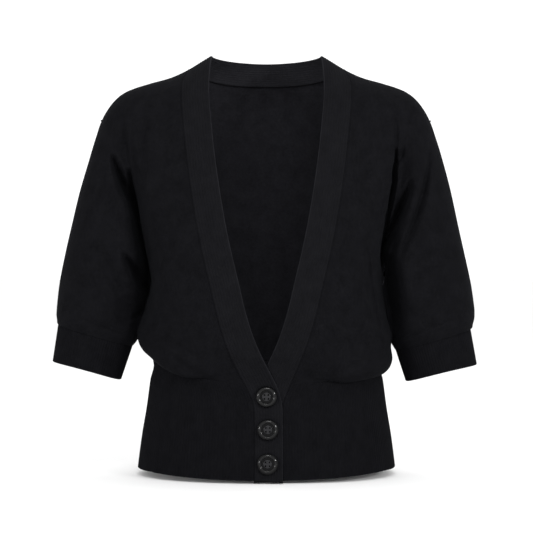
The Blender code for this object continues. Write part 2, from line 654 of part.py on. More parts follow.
def front_band(right_seam, left_seam):
    """One ribbed strip from the right placket round the neck to the left placket."""
    right = band_half("right", right_seam)
    left = band_half("left", left_seam)
    grid = np.concatenate([right, left[-2::-1]])
    normals = grid_normals(grid, False, np.array(BAND_CENTRE))
    width = np.linalg.norm(grid[:, -1] - grid[:, 0], axis=-1)[:, None]
    inset = (SEAM_GAP / 2 + 0.05) / width
    grid[:, 0] += (grid[:, -1] - grid[:, 0]) * inset
    raised = (np.arange(grid.shape[1]) % 2)[None, :, None] * RIB_RELIEF
    middle = grid.shape[1] // 2
    inner = (grid - normals * RIB_WALL)[:, [-1, middle, 0]]
    loop = np.concatenate([grid + normals * raised, inner], axis=1)
    rows, around = loop.shape[:2]
    faces = [tuple(range(around)), tuple((rows - 1) * around + k for k in reversed(range(around)))]
    for row in range(rows - 1):
        for k in range(around):
            n = (k + 1) % around
            faces.append((row * around + k, (row + 1) * around + k,
                          (row + 1) * around + n, row * around + n))
    return loop.reshape(-1, 3), faces


# ---------------------------------------------------------------- objects

def linear(value):
    """One sRGB channel as linear light."""
    return value / 12.92 if value <= 0.04045 else ((value + 0.055) / 1.055) ** 2.4


def material(name, colour, roughness):
    """Principled material of one colour, given as sRGB hex."""
    made = bpy.data.materials.new(name)
    made.use_nodes = True
    shader = made.node_tree.nodes["Principled BSDF"]
    channels = [linear(int(colour[k:k + 2], 16) / 255) for k in (0, 2, 4)]
    shader.inputs["Base Color"].default_value = (*channels, 1.0)
    shader.inputs["Roughness"].default_value = roughness
    shader.inputs["Metallic"].default_value = 0.0
    made.diffuse_color = (*channels, 1.0)
    return made


def collection(name):
    """New collection in the scene."""
    made = bpy.data.collections.new(name)
    bpy.context.scene.collection.children.link(made)
    return made


def solid(name, points, faces, finish, place):
    """Closed mesh object from points in millimetres, with its faces turned outward."""
    mesh = bpy.data.meshes.new(name)
    mesh.from_pydata((np.asarray(points) * MM).tolist(), [], [list(map(int, f)) for f in faces])
    mesh.validate()
    work = bmesh.new()
    work.from_mesh(mesh)
    bmesh.ops.recalc_face_normals(work, faces=work.faces)
    work.to_mesh(mesh)
    work.free()
    mesh.shade_smooth()
    mesh.materials.append(finish)
    made = bpy.data.objects.new(name, mesh)
    place.objects.link(made)
    return made


def cloth_pieces(finish, place):
    """The two fronts and the back, walled along normals that they share at their seams."""
    patches = {
        "front_right": piece_patches("right", "front"),
        "front_left": piece_patches("left", "front"),
        "back": piece_patches("right", "back") + piece_patches("left", "back")}
    points, quads = stitch([patch for piece in patches.values() for patch in piece])
    shared = {tuple(point): normal for point, normal in zip(points, vertex_normals(points, quads))}
    for name, piece in patches.items():
        points, quads = stitch(piece)
        normals = np.array([shared[tuple(point)] for point in points])
        drawn = draw_in_edges(points, quads, normals, SEAM_GAP / 2)
        solid(name, *wall(drawn, quads, normals, CLOTH), finish, place)
    seams = [np.concatenate([patches[name][0][0][:, 0], patches[name][1][0][1:, 0]])
             for name in ("front_right", "front_left")]
    return seams


def placket_frame(x, z):
    """Place and outward direction of the right placket's surface at a button."""
    step = 0.8 * BUTTON_RADIUS
    q = np.array([-(x - PLACKET_CENTRE), -(x - PLACKET_CENTRE + step), -(x - PLACKET_CENTRE),
                  -(x - PLACKET_CENTRE - step), -(x - PLACKET_CENTRE)])
    height = np.array([z, z, z + step, z, z - step])
    y = -(body_depth(q, height, "front") + overlap_shift("right", q, height))
    point = Vector((x, y[0], z))
    across = Vector((2 * step, y[1] - y[3], 0.0))
    rising = Vector((0.0, y[2] - y[4], 2 * step))
    return point, across.cross(rising).normalized()


def button(name, x, z, finish, place, cutters):
    """Turned button with a dished face and four drilled holes."""
    profile = [(r, h * BUTTON_THICKNESS) for r, h in BUTTON_PROFILE[1]]
    mesh = bpy.data.meshes.new(name)
    edges = [(k, k + 1) for k in range(len(profile) - 1)]
    mesh.from_pydata([(r * MM, 0.0, h * MM) for r, h in profile], edges, [])
    mesh.materials.append(finish)
    made = bpy.data.objects.new(name, mesh)
    place.objects.link(made)
    turned = made.modifiers.new("turned", "SCREW")
    turned.steps = turned.render_steps = BUTTON_SIDES
    turned.use_merge_vertices = True
    turned.merge_threshold = 0.00001
    turned.use_smooth_shade = True
    drill = bpy.data.meshes.new(name + "_holes")
    work = bmesh.new()
    for k in range(4):
        turn = math.pi / 2 * (k + 0.5)
        shift = Matrix.Translation((HOLE_RING * MM * math.cos(turn),
                                    HOLE_RING * MM * math.sin(turn), 0.0))
        bmesh.ops.create_cone(work, cap_ends=True, segments=HOLE_SIDES, radius1=HOLE_RADIUS * MM,
                              radius2=HOLE_RADIUS * MM, depth=4 * BUTTON_THICKNESS * MM,
                              matrix=shift)
    work.to_mesh(drill)
    work.free()
    holes = bpy.data.objects.new(name + "_holes", drill)
    holes.hide_render = True
    holes.display_type = "WIRE"
    holes.parent = made
    cutters.objects.link(holes)
    cut = made.modifiers.new("holes", "BOOLEAN")
    cut.operation = "DIFFERENCE"
    cut.solver = "EXACT"
    cut.object = holes
    point, outward = placket_frame(x, z)
    stand = RIB_RELIEF + BUTTON_SHANK + BUTTON_THICKNESS / 2
    made.location = (point + outward * stand) * MM
    made.rotation_mode = "QUATERNION"
    made.rotation_quaternion = outward.to_track_quat("Z", "Y")
    return made


def main():
    """Empty the scene and build the cardigan."""
    for old in list(bpy.data.objects):
        bpy.data.objects.remove(old, do_unlink=True)
    garment = collection("batwing_cardigan")
    cutters = collection("cutters")
    knit = material("black_knit", KNIT_BLACK, 0.9)
    rib = material("black_rib_knit", RIB_BLACK, 0.9)
    gloss = material("black_button", BUTTON_BLACK, 0.15)
    right_seam, left_seam = cloth_pieces(knit, garment)
    solid("waistband_right", *waistband_front("right"), rib, garment)
    solid("waistband_left", *waistband_front("left"), rib, garment)
    solid("waistband_back", *waistband_back(), rib, garment)
    for side in SIDES:
        solid("cuff_" + side, *cuff(side), rib, garment)
    solid("front_band", *front_band(right_seam, left_seam), rib, garment)
    for name, x, z in BUTTONS:
        button(name, x, z, gloss, garment, cutters)


main()
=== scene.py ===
"""Cropped batwing cardigan in black knit: the looks of its cloth, ribs, seams and buttons.

Lengths inside the shape functions are millimetres; each mesh is scaled to metres when it is made.
X runs to the viewer's right, Y to the back and Z up. Both halves are worked out in one half-plane:
q is the distance from the centre line and z the height.
"""

import bmesh
import bpy
import numpy as np
from bpy.props import FloatProperty, FloatVectorProperty, PointerProperty
from mathutils import Matrix, Vector


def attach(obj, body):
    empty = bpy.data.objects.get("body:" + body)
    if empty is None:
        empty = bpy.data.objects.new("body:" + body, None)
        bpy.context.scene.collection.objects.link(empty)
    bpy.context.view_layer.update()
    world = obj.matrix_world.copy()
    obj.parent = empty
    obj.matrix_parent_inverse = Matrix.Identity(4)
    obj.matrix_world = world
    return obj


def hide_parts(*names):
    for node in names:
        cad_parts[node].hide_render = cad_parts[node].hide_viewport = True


bl_info = {
    "name": "Batwing cardigan",
    "version": (1, 0, 0),
    "blender": (4, 5, 0),
    "location": "3D View > Sidebar > Cardigan",
    "description": "Knitted cloth, ribs, seams and buttons of a cropped batwing cardigan",
    "category": "Object",
}

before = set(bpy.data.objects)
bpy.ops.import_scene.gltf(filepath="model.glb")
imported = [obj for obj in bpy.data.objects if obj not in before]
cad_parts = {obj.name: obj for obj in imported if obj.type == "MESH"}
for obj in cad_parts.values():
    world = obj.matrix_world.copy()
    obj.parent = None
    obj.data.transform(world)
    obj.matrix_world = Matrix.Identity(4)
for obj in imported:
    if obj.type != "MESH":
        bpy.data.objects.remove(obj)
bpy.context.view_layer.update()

MM = 0.001
SIDES = {"right": -1.0, "left": 1.0}   # the wearer's right is at the viewer's left

# Sizes of the cut, in millimetres, the same as the solids'.
SEAM_GAP = 0.3            # between two pieces at a seam
RIM_GAP = 0.4             # between the cloth's foot and the rib below it
BAND_WIDTH = 33.0
BAND_RIBS = 10
BAND_INSET = 0.2          # how far the band's edge keeps inside its seam line
CUFF_RIBS = 90
RIB_SETBACK = 0.2         # taken off the rib wall, because the reverse has ribs of its own
PLACKET_CENTRE = 2.0      # x of the middle of the fastened bands
OVERLAP = 1.4             # how far the right front stands out and the left one stands back
BACK_NECK = 5.0           # height of the band's seam at the centre back
BACK_NECK_EDGE = 31.0     # height of the band's free edge there
APEX = -318.0             # height of the underarm
LEFT_DROP = 4.0           # how much lower the left underarm hangs
SHOULDER_TIP = 205.6      # q where the over-arm line turns down
SLEEVE_END = -278.0       # height where the sleeve's upper grid ends outside
SIDE_REACH = 75.0         # q where the back's columns under the neck end
BEYOND_CENTRE = 60.0      # how far the outline runs on past the centre line
WAIST_REACH = 141.0       # half width of the waistband's top

# Roundness of the sections: distances over which body and sleeve rise from the over-arm line,
# powers of the oval, half width of the deep fold and its share at the back, and the cosine of
# the slant of the sleeve's inner line.
ROUND_SHOULDER = 75.0
ROUND_SLEEVE = 46.0
OVAL_WIDTH = 2.4
OVAL_DEPTH = 2.2
VALLEY_WIDTH = 11.0
BACK_VALLEY = 0.6
INNER_SLANT = 0.947

# Half depth of a cuff's oval, and how much it rises at the front and back.
CUFF_DEPTH = {"top": 49.0, "hem": 47.0}
CUFF_LIFT = {"top": 0.0, "hem": 3.0}

# Heights of a placket's foot at its seam and at its free edge.
PLACKET_FOOT = {"seam": -482.3, "edge": -485.1}

# Stretches over which a shift or a shape fades: the placket's overlap across and up, its
# distance from the centre line, the band's turn into the shoulder's slope, and the share of the
# way round at which the straight placket becomes the bloused body and the middle the side.
OVERLAP_FADE = {"q": (30.0, 95.0), "z": (-320.0, -250.0)}
CENTRE_FADE = (-390.0, -330.0)
NECK_TURN = -13.0
BLOUSE_FADE = 0.375
SIDE_ROLL = (0.3, 0.9)

# Points well inside the waistband and the front band, from which their normals point away.
WAIST_CENTRE = (0.0, 0.0, -420.0)
BAND_CENTRE = (0.0, 0.0, -200.0)

# Fine grid: steps down a piece, and across the neck, the body and the sleeve.
ROWS = 120
ROW_SPREAD = 1.5       # above 1 the rows lie closer near the shoulder
NECK_STEPS = 26
BODY_STEPS = 60
SLEEVE_STEPS = 50
BLOUSE_STEPS = 44
SLEEVE_FOOT_STEPS = 28
WAIST_ROWS = 25
CUFF_ROWS = 13
BAND_CHEST = -100.0    # height between the front band's upper and lower rows
BAND_ROWS = (45, 150)  # how many rows lie above it and below it
RIB_POINTS = 6         # points across one rib and its groove
RIM_POINTS = 4         # points round a ribbed edge
LINE_POINTS = 800
OUTLINE_POINTS = 300
SETTLING = 6           # rounds in which a height and a width that depend on each other settle

OVER_ARM = (("q", "z"), (
    (0.0, 52.0), (22.0, 50.0), (46.0, 43.0), (68.75, 35.0), (97.7, 17.2), (115.6, 8.75),
    (145.6, 0.0), (165.6, -6.25), (175.6, -10.5), (185.6, -17.5), (195.6, -28.75),
    (205.6, -46.25), (213.0, -67.5), (222.0, -97.5), (233.0, -135.0), (242.0, -172.5),
    (250.6, -210.0), (258.0, -247.5), (261.5, -278.0), (264.0, -345.0)))
# The inner and the outer end (q, z) of the front band's edge along the shoulder.
NECK_POINT = (68.75, 35.0)
BAND_SHOULDER = (97.7, 17.2)

V_EDGE = (("z", "q"), (
    (35.0, 68.75), (14.0, 70.2), (-13.0, 70.5), (-52.0, 67.5), (-101.0, 61.8), (-149.0, 54.6),
    (-197.0, 45.6), (-244.0, 34.6), (-291.0, 23.0), (-315.0, 15.0), (-338.0, 5.2),
    (-362.0, -6.0), (-376.0, -12.0), (-392.0, -15.6), (-415.0, -16.4), (-490.0, -16.4)))

BODY = (("z", "half_width", "front", "back"), (
    (60.0, 160.0, 45.0, 60.0), (33.0, 168.0, 56.0, 72.0), (5.0, 174.0, 66.0, 80.0),
    (-20.0, 177.0, 73.0, 87.0), (-52.0, 177.0, 84.0, 93.0), (-101.0, 173.0, 99.0, 99.0),
    (-149.0, 166.0, 109.0, 101.0), (-197.0, 158.0, 114.0, 101.0), (-240.0, 152.0, 116.0, 100.0),
    (-285.0, 154.5, 116.0, 98.0), (-318.0, 160.6, 113.0, 96.0), (-332.0, 150.0, 110.5, 92.0),
    (-345.0, 141.0, 105.0, 88.0), (-369.0, 144.6, 97.0, 85.0), (-405.0, 149.5, 98.2, 88.0),
    (-435.0, 154.5, 100.0, 92.0), (-490.0, 161.5, 103.5, 98.5)))

SLEEVE = (("z", "inner_q", "depth", "blend"), (
    (40.0, 20.0, 40.0, 60.0), (0.0, 40.0, 47.0, 55.0), (-60.0, 62.0, 53.0, 45.0),
    (-150.0, 104.0, 57.0, 28.0), (-240.0, 134.0, 56.0, 14.0), (-290.0, 151.0, 54.0, 4.0),
    (-318.0, 160.6, 52.0, 0.0), (-368.0, 182.0, 50.0, 0.0)))

VALLEY = (("z", "q", "share"), (
    (-10.0, 176.0, 0.0), (-55.0, 173.0, 0.02), (-99.0, 168.0, 0.16), (-141.0, 163.0, 0.28),
    (-190.0, 155.0, 0.38), (-227.0, 149.0, 0.42), (-255.0, 148.0, 0.40), (-287.0, 154.0, 0.26),
    (-318.0, 160.6, 0.0)))

NARROWING = (("z", "body", "sleeve"), (
    (60.0, 1.0, 1.0), (-46.0, 0.99, 0.992), (-90.0, 0.987, 0.995), (-150.0, 0.984, 0.988),
    (-200.0, 0.98, 0.986), (-240.0, 0.976, 0.989), (-290.0, 0.97, 0.995),
    (-318.0, 0.967, 0.998), (-365.0, 0.985, 1.0)))

# How the body blouses over the waistband, in its middle and at its two sides, and how a sleeve
# eases into its cuff.
BODY_ROLL = {
    "middle": (("step", "out", "height"), (
        (0.0, 1.00, 1.00), (1.0, 1.04, 0.70), (2.0, 1.04, 0.42), (3.0, 0.95, 0.17),
        (4.0, 0.72, 0.01), (5.0, 0.40, -0.04), (6.0, 0.12, 0.00), (7.0, -0.09, 0.00))),
    "right": (("step", "out", "height"), (
        (0.0, 1.00, 1.00), (1.0, 0.87, 0.72), (2.0, 0.62, 0.44), (3.0, 0.28, 0.22),
        (4.0, 0.10, 0.10), (5.0, 0.02, 0.04), (6.0, -0.04, 0.00), (7.0, -0.09, 0.00))),
    "left": (("step", "out", "height"), (
        (0.0, 1.00, 1.00), (1.0, 0.98, 0.80), (2.0, 1.10, 0.47), (3.0, 0.86, 0.20),
        (4.0, 0.42, 0.03), (5.0, 0.20, 0.00), (6.0, 0.04, 0.00), (7.0, -0.09, 0.00)))}
SLEEVE_ROLL = (("step", "out", "height"), (
    (0.0, 1.00, 1.00), (1.0, 0.75, 0.55), (2.0, 0.44, 0.24), (3.0, 0.20, 0.02),
    (4.0, -0.25, 0.00)))

# Heights of the waistband's top and hem at the middle of the front and back and at the sides,
# and the outer and inner ends (q, z) of each cuff's top and hem.
WAIST_TOP = {"front": -369.0, "back": -352.0, "right": -345.0, "left": -361.0}
WAIST_HEM = {"front": -481.4, "back": -479.0, "right": -476.4, "left": -475.6}
CUFFS = {
    "right": {"top": (259.5, -300.0, 168.0, -327.0), "hem": (266.3, -345.0, 181.9, -368.0)},
    "left": {"top": (254.2, -306.0, 162.0, -332.5), "hem": (261.9, -348.8, 174.2, -370.0)}}

# Name, and x and z of the centre.
BUTTONS = (("button_top", -0.1, -382.9), ("button_middle", 1.6, -421.8),
           ("button_bottom", 1.3, -462.2))
BUTTON_RADIUS = 12.5
BUTTON_THICKNESS = 4.2
BUTTON_SHANK = 0.9        # length of the thread between the band and the button
RIB_CREST = 0.5           # height of the band's ribs, on which the shank stands
BUTTON_DISH = 1.3         # depth of the face inside the rim
BUTTON_RIM = 3.6          # width of the rim
WEB_RADIUS = 4.9          # the raised middle that holds the four holes
BUTTON_SIDES = 72
POLE = 0.02               # radius at which the turned profile starts and ends
HOLE_RADIUS = 1.1
HOLE_RING = 3.2           # distance of the holes from the middle
HOLE_SIDES = 24
RIM_CREST = (0.65, 1.4)   # middle and half width of the polished crest, from the rim's inside
RIM_FALL = 0.8            # how far below the top it reaches

# Sewing thread: radius of a strand, half the distance of the two strands of a pair, how far they
# run above the dish, the share of the way to a hole where they turn down and how deep they go.
# A twist gives the length of one turn and how much the cord swells with it.
THREAD_RADIUS = 0.24
STRAND_GAP = 0.26
STRAND_HEIGHT = 0.6
STRAND_TURN = 0.62
STRAND_DIVE = 2.4
STRAND_TWIST = (0.6, 0.2)
SHANK_RADIUS = 1.6
SHANK_TWIST = (0.5, 0.3)

# Linked seams: length of one stitch and how much the cord swells with it, the cords' radii, and
# how far each runs below the outer face of its piece. The side seams end above the hem.
SEAM_TWIST = (1.9, 0.35)
FINE_SEAM = 0.55
INSIDE_SEAM = 0.9
OVER_ARM_SUNK = 0.45
BAND_SEAM_SUNK = -0.2
NECK_SEAM_SUNK = 2.1
SIDE_SEAM_SUNK = 1.5
SIDE_SEAM_END = 0.985

# Creases, listed one by one: side, face, depth into the cloth (a ridge is negative), half width on
# the side of the body and on the side of the sleeve, and the points (x, z) that its bottom runs
# through. Where the two widths differ, the body's edge is crisp and the sleeve slopes in softly.
CREASES = (
    ("right", "front", 24.0, 7.5, 3.0, ((-189, -91), (-186, -103), (-182, -117), (-177, -130),
                                        (-170, -143), (-165, -158), (-160, -174))),
    ("right", "front", 30.0, 2.8, 5.5, ((-167, -108), (-165, -125), (-161, -151), (-158, -174),
                                        (-153, -199), (-149, -222), (-147, -236))),
    ("right", "front", 24.0, 8.0, 3.0, ((-174, -212), (-170, -223), (-165, -232), (-160, -243),
                                        (-155, -253), (-149, -262), (-147, -268))),
    ("right", "front", 24.0, 2.8, 6.5, ((-152, -206), (-149, -221), (-146, -235), (-144, -246),
                                        (-146, -257), (-148, -266), (-150, -276))),
    ("right", "front", 13.0, 3.5, 3.5, ((-150, -266), (-152, -279), (-157, -286), (-165, -292))),
    ("right", "front", 4.0, 3.0, 3.0, ((-157, -286), (-172, -295), (-190, -300), (-204, -304))),
    ("right", "front", 2.5, 3.0, 4.0, ((-174, -46), (-174, -60), (-172, -76), (-168, -92))),
    ("right", "front", -2.2, 2.6, 3.0, ((-169, -58), (-168, -86), (-165, -110), (-161, -136))),
    ("right", "front", 3.2, 5.0, 5.0, ((-150, -50), (-150, -72), (-150, -100), (-149, -122))),
    ("right", "front", 6.0, 7.0, 6.0, ((-204, -206), (-197, -222), (-188, -242), (-180, -258),
                                       (-176, -276))),
    ("right", "front", 9.0, 9.0, 13.0, ((-166, -262), (-171, -282), (-178, -300))),
    ("right", "front", 6.0, 5.0, 5.0, ((-128, -284), (-133, -296), (-139, -307), (-147, -318))),
    ("right", "front", 2.2, 5.0, 5.0, ((-118, -318), (-97, -329), (-76, -340))),
    ("right", "front", 2.6, 5.5, 5.5, ((-122, -328), (-94, -349), (-70, -362))),
    ("right", "front", -2.0, 8.0, 8.0, ((-66, -262), (-56, -300), (-39, -330), (-27, -350))),
    ("right", "front", 1.8, 6.0, 6.0, ((-52, -250), (-46, -285), (-36, -312))),
    ("left", "front", 4.0, 2.4, 3.0, ((157, -46), (158, -68), (157, -84), (157, -98))),
    ("left", "front", 24.0, 2.4, 3.4, ((157, -84), (157, -98), (155, -111), (155, -123),
                                       (154, -132), (152, -145), (150, -160))),
    ("left", "front", 26.0, 2.6, 4.0, ((153, -128), (150, -154), (147, -167), (146, -178),
                                       (144, -193), (143, -208), (143, -226))),
    ("left", "front", 5.0, 3.0, 3.0, ((168, -82), (165, -91), (161, -98), (157, -108))),
    ("left", "front", 27.0, 7.0, 2.8, ((177, -122), (175, -135), (170, -150), (164, -164),
                                       (157, -180), (151, -191), (146, -203), (143, -218),
                                       (142, -234))),
    ("left", "front", 12.0, 2.6, 4.0, ((147, -194), (144, -208), (143, -220), (144, -236))),
    ("left", "front", -2.5, 6.5, 6.5, ((191, -104), (187, -123), (181, -142), (175, -156),
                                       (168, -179), (162, -193), (155, -208))),
    ("left", "front", 10.0, 3.0, 5.5, ((199, -84), (197, -104), (193, -123), (190, -138),
                                       (185, -156), (179, -173), (172, -191), (165, -206),
                                       (161, -224))),
    ("left", "front", 20.0, 4.0, 11.0, ((147, -212), (149, -236), (151, -262), (155, -284),
                                        (157, -308))),
    ("left", "front", 8.0, 4.5, 4.0, ((121, -208), (123, -228), (125, -250), (129, -270),
                                      (132, -290), (137, -308), (142, -326))),
    ("left", "front", 3.4, 3.0, 4.0, ((146, -354), (123, -359), (94, -366), (60, -370))),
    ("left", "front", 2.2, 5.0, 5.0, ((84, -356), (100, -348), (120, -345))),
    ("left", "front", 3.0, 5.0, 8.0, ((62, -262), (52, -296), (38, -328), (24, -352))),
    ("right", "back", 7.5, 5.0, 12.0, ((-174, -80), (-168, -118), (-160, -164), (-152, -214),
                                       (-149, -256), (-154, -300))),
    ("right", "back", 3.8, 6.0, 6.0, ((-198, -92), (-190, -126), (-181, -160), (-172, -190))),
    ("right", "back", 2.6, 9.0, 9.0, ((-128, -170), (-122, -225), (-112, -276), (-96, -312))),
    ("right", "back", 2.2, 7.0, 7.0, ((-60, -240), (-52, -290), (-56, -332))),
    ("left", "back", 7.0, 5.0, 12.0, ((172, -92), (165, -134), (156, -184), (148, -236),
                                      (151, -292))),
    ("left", "back", 4.0, 6.5, 6.5, ((196, -104), (186, -142), (176, -178))),
    ("left", "back", 2.8, 9.0, 9.0, ((124, -150), (120, -210), (108, -264), (88, -318))),
    ("left", "back", 2.0, 7.0, 7.0, ((66, -268), (54, -306), (44, -336))),
    ("left", "back", 1.6, 11.0, 11.0, ((-30, -60), (2, -70), (34, -58))),
)
CREASE_POWER = 2.4          # of the bell across a crease: above 2 its edges are crisper
CREASE_TIP = 0.45           # half width at a crease's ends, as a share of the one in its middle
CREASE_RIDGE = 0.05         # height of the swelling beside a crease, as a share of its depth
CREASE_SWELL = (2.1, 0.8)   # where the swelling lies and how wide it is, in half widths
CREASE_END = 0.7            # power with which the depth fades to both ends
CREASE_REACH = 4            # half widths beyond which a crease isn't worked out
CREASE_TURN = 2.0           # half the distance over which one side's width becomes the other's
HELD_AT_SEAM = (0.5, 16.0)  # distances from a seam between which a crease comes in
HELD_AT_BAND = (0.0, 14.0)
HELD_AT_WAIST = (1.0, 16.0)
PAINTED_INSIDE_LIGHT = 3.5          # painted light: how much lighter the inside of the knit is coloured than its face

# Camera, in metres: the photograph's height and distance, and its lens on a 36 mm film.
CAMERA_PLACE = (0.0, -2.0, -0.228)
CAMERA_LENS = 108.07
FILM_WIDTH = 36.0

# Softboxes in metres and watts: name, place, width, height and power, all turned to the middle
# of the cardigan. The first three give the glints on the buttons' rims.
SOFTBOXES = (
    ("softbox_left", (-1.45, -1.45, -0.1), 0.5, 0.4, 11.0),
    ("softbox_right", (1.35, -1.45, 0.2), 0.45, 0.3, 17.0),
    ("softbox_high", (0.12, -1.5, 0.9), 0.9, 0.14, 9.0),
    ("softbox_over", (0.0, 0.9, 1.7), 1.0, 1.0, 10.0))
SOFTBOX_AIM = (0.0, 0.0, -0.25)
WORLD_LIGHT = 1.2          # strength of the white surroundings
FLOOR_RADIUS = 30000.0
FLOOR_RINGS = 24
FLOOR_SIDES = 48


# ---------------------------------------------------------------- numbers and curves

def hermite(t, first, last, first_slope, last_slope):
    """Cubic Hermite from first at t = 0 to last at t = 1, with the slopes given at both."""
    return ((2 * t**3 - 3 * t**2 + 1) * first + (t**3 - 2 * t**2 + t) * first_slope
            + (3 * t**2 - 2 * t**3) * last + (t**3 - t**2) * last_slope)


def read(table, key, name, at):
    """Smooth curve through two named columns of a table: cubic Hermite with central slopes."""
    names, rows = table
    grid = np.array(rows, float)
    grid = grid[np.argsort(grid[:, names.index(key)])]
    keys, values = grid[:, names.index(key)], grid[:, names.index(name)]
    slopes = np.gradient(values, keys)
    at = np.clip(at, keys[0], keys[-1])
    k = np.clip(np.searchsorted(keys, at) - 1, 0, len(keys) - 2)
    span = keys[k + 1] - keys[k]
    return hermite((at - keys[k]) / span, values[k], values[k + 1], span * slopes[k],
                   span * slopes[k + 1])


def smooth_line(line, steps):
    """Points of a polyline with its corners rounded: cubic Hermite through all of them."""
    fine = np.linspace(0.0, len(line) - 1.0, (len(line) - 1) * steps + 1)
    slopes = np.gradient(line, axis=0)
    k = np.clip(np.searchsorted(np.arange(len(line)), fine) - 1, 0, len(line) - 2)
    return hermite((fine - k)[:, None], line[k], line[k + 1], slopes[k], slopes[k + 1])


def ease(value, start, end):
    """0 before start, 1 after end, and a smooth step between them."""
    t = np.clip((value - start) / (end - start), 0.0, 1.0)
    return t * t * (3 - 2 * t)


def rise(share):
    """Quarter ellipse: 0 with an upright tangent at 0, 1 and level from 1 on."""
    share = np.clip(share, 0.0, 1.0)
    return np.sqrt(1 - (1 - share) ** 2)


def unit(vectors):
    """The same vectors with length one."""
    return vectors / np.maximum(np.linalg.norm(vectors, axis=-1, keepdims=True), 1e-12)


def run_lengths(grid, axis=0):
    """Distance travelled along one axis of a row or grid of points, from its first one."""
    steps = np.linalg.norm(np.diff(grid, axis=axis), axis=-1)
    first = np.zeros_like(np.take(steps, [0], axis=axis))
    return np.cumsum(np.concatenate([first, steps], axis=axis), axis=axis)


def spaced(line, travelled, wanted):
    """Points of a polyline at wanted distances, where `travelled` is the distance of each."""
    return np.stack([np.interp(wanted, travelled, line[:, k]) for k in range(3)], axis=-1)


def grid_quads(rows, columns, ring=False, tube=False):
    """Quads between neighbours of a grid of points that are counted row by row.

    `ring` joins the last row to the first, and `tube` the last column to the first.
    """
    index = np.arange(rows * columns).reshape(rows, columns)
    if ring:
        index = np.concatenate([index, index[:1]])
    if tube:
        index = np.concatenate([index, index[:, :1]], axis=1)
    quads = np.stack([index[:-1, :-1], index[1:, :-1], index[1:, 1:], index[:-1, 1:]], axis=-1)
    return quads.reshape(-1, 4)


def over_arm_outline():
    """Points along the over-arm line, from beyond the centre over the shoulder to the cuff."""
    q = np.linspace(-BEYOND_CENTRE, SHOULDER_TIP, OUTLINE_POINTS)
    z = np.linspace(read(OVER_ARM, "q", "z", SHOULDER_TIP), OVER_ARM[1][-1][1], OUTLINE_POINTS)[1:]
    top = np.stack([q, read(OVER_ARM, "q", "z", np.abs(q))], axis=-1)
    outside = np.stack([read(OVER_ARM, "z", "q", z), z], axis=-1)
    return np.concatenate([top, outside])


OUTLINE = over_arm_outline()


def line_distance(points, line):
    """Shortest distance from points to a polyline, the share of its length where it is met, and
    how much farther out than the line each point lies."""
    start, step = line[:-1], np.diff(line, axis=0)
    offset = points[..., None, :] - start
    share = np.clip((offset * step).sum(-1) / (step**2).sum(-1), 0.0, 1.0)
    gap = ((offset - share[..., None] * step) ** 2).sum(-1)
    nearest = gap.argmin(-1)
    before = run_lengths(line)
    met = np.take_along_axis(share, nearest[..., None], -1)[..., 0]
    along = (before[nearest] + met * (before[nearest + 1] - before[nearest])) / before[-1]
    farther = np.abs(points[..., 0]) - np.abs(start[nearest, 0] + met * step[nearest, 0])
    return np.sqrt(np.take_along_axis(gap, nearest[..., None], -1)[..., 0]), along, farther


# ---------------------------------------------------------------- the surface of the cloth

def body_depth(q, z, face):
    """Rounded oval section of the body: depth * (1 - (q / half width)^a)^(1 / b)."""
    reach = np.clip(np.abs(q) / read(BODY, "z", "half_width", z), 0.0, 1.0)
    return read(BODY, "z", face, z) * (1 - reach**OVAL_WIDTH) ** (1 / OVAL_DEPTH)


def depth(q, z, face):
    """Depth of the cloth: a soft maximum of the body's and the sleeve's oval, with a fold.

    Both ovals rise from the over-arm line as a quarter ellipse.
    """
    edge = line_distance(np.stack([q, z], axis=-1), OUTLINE)[0]
    body = body_depth(q, z, face) * rise(edge / ROUND_SHOULDER)
    inside = (q - read(SLEEVE, "z", "inner_q", z)) * INNER_SLANT
    sleeve = read(SLEEVE, "z", "depth", z) * rise(edge / ROUND_SLEEVE) * rise(inside / ROUND_SLEEVE)
    soft = np.maximum(read(SLEEVE, "z", "blend", z) * rise(edge / ROUND_SLEEVE), 1e-6)
    near = np.maximum(soft - np.abs(body - sleeve), 0.0) / soft
    joined = np.maximum(body, sleeve) + near**2 * soft / 4
    share = read(VALLEY, "z", "share", z) * (1.0 if face == "front" else BACK_VALLEY)
    fold = np.exp(-((q - read(VALLEY, "z", "q", z)) / VALLEY_WIDTH) ** 2)
    return joined * (1 - share * fold)


def overlap_shift(side, q, z):
    """Outward shift of the right front and inward shift of the left one round the placket."""
    near = (1 - ease(np.abs(q), *OVERLAP_FADE["q"])) * (1 - ease(z, *OVERLAP_FADE["z"]))
    return -SIDES[side] * OVERLAP * near


def centre_shift(z):
    """The fastened bands lie beside the centre line; the V above them is centred."""
    return PLACKET_CENTRE * (1 - ease(z, *CENTRE_FADE))


def band_lines():
    """Edge and seam of the front band: the seam is the edge moved out along its normal.

    The normal turns into the slope of the shoulder at the top.
    Columns: edge q, edge z, seam q, seam z, from the shoulder down.
    """
    z = np.linspace(V_EDGE[1][0][0], V_EDGE[1][-1][0], LINE_POINTS // 2)
    q = read(V_EDGE, "z", "q", z)
    along = np.stack([np.gradient(q), np.gradient(z)], axis=-1)
    across = unit(np.stack([-along[:, 1], along[:, 0]], axis=-1))
    slope = unit(np.subtract(BAND_SHOULDER, NECK_POINT))
    turn = ease(z, NECK_TURN, NECK_POINT[1])[:, None]
    across = unit(across * (1 - turn) + slope * turn)
    return np.column_stack([q, z, q + BAND_WIDTH * across[:, 0], z + BAND_WIDTH * across[:, 1]])


BAND_LINES = band_lines()
SHOULDER_SEAM_Q = BAND_LINES[0, 2]


def seam_q(z):
    """Distance of the band's seam from the centre line at a height."""
    return np.interp(z, BAND_LINES[::-1, 3], BAND_LINES[::-1, 2])


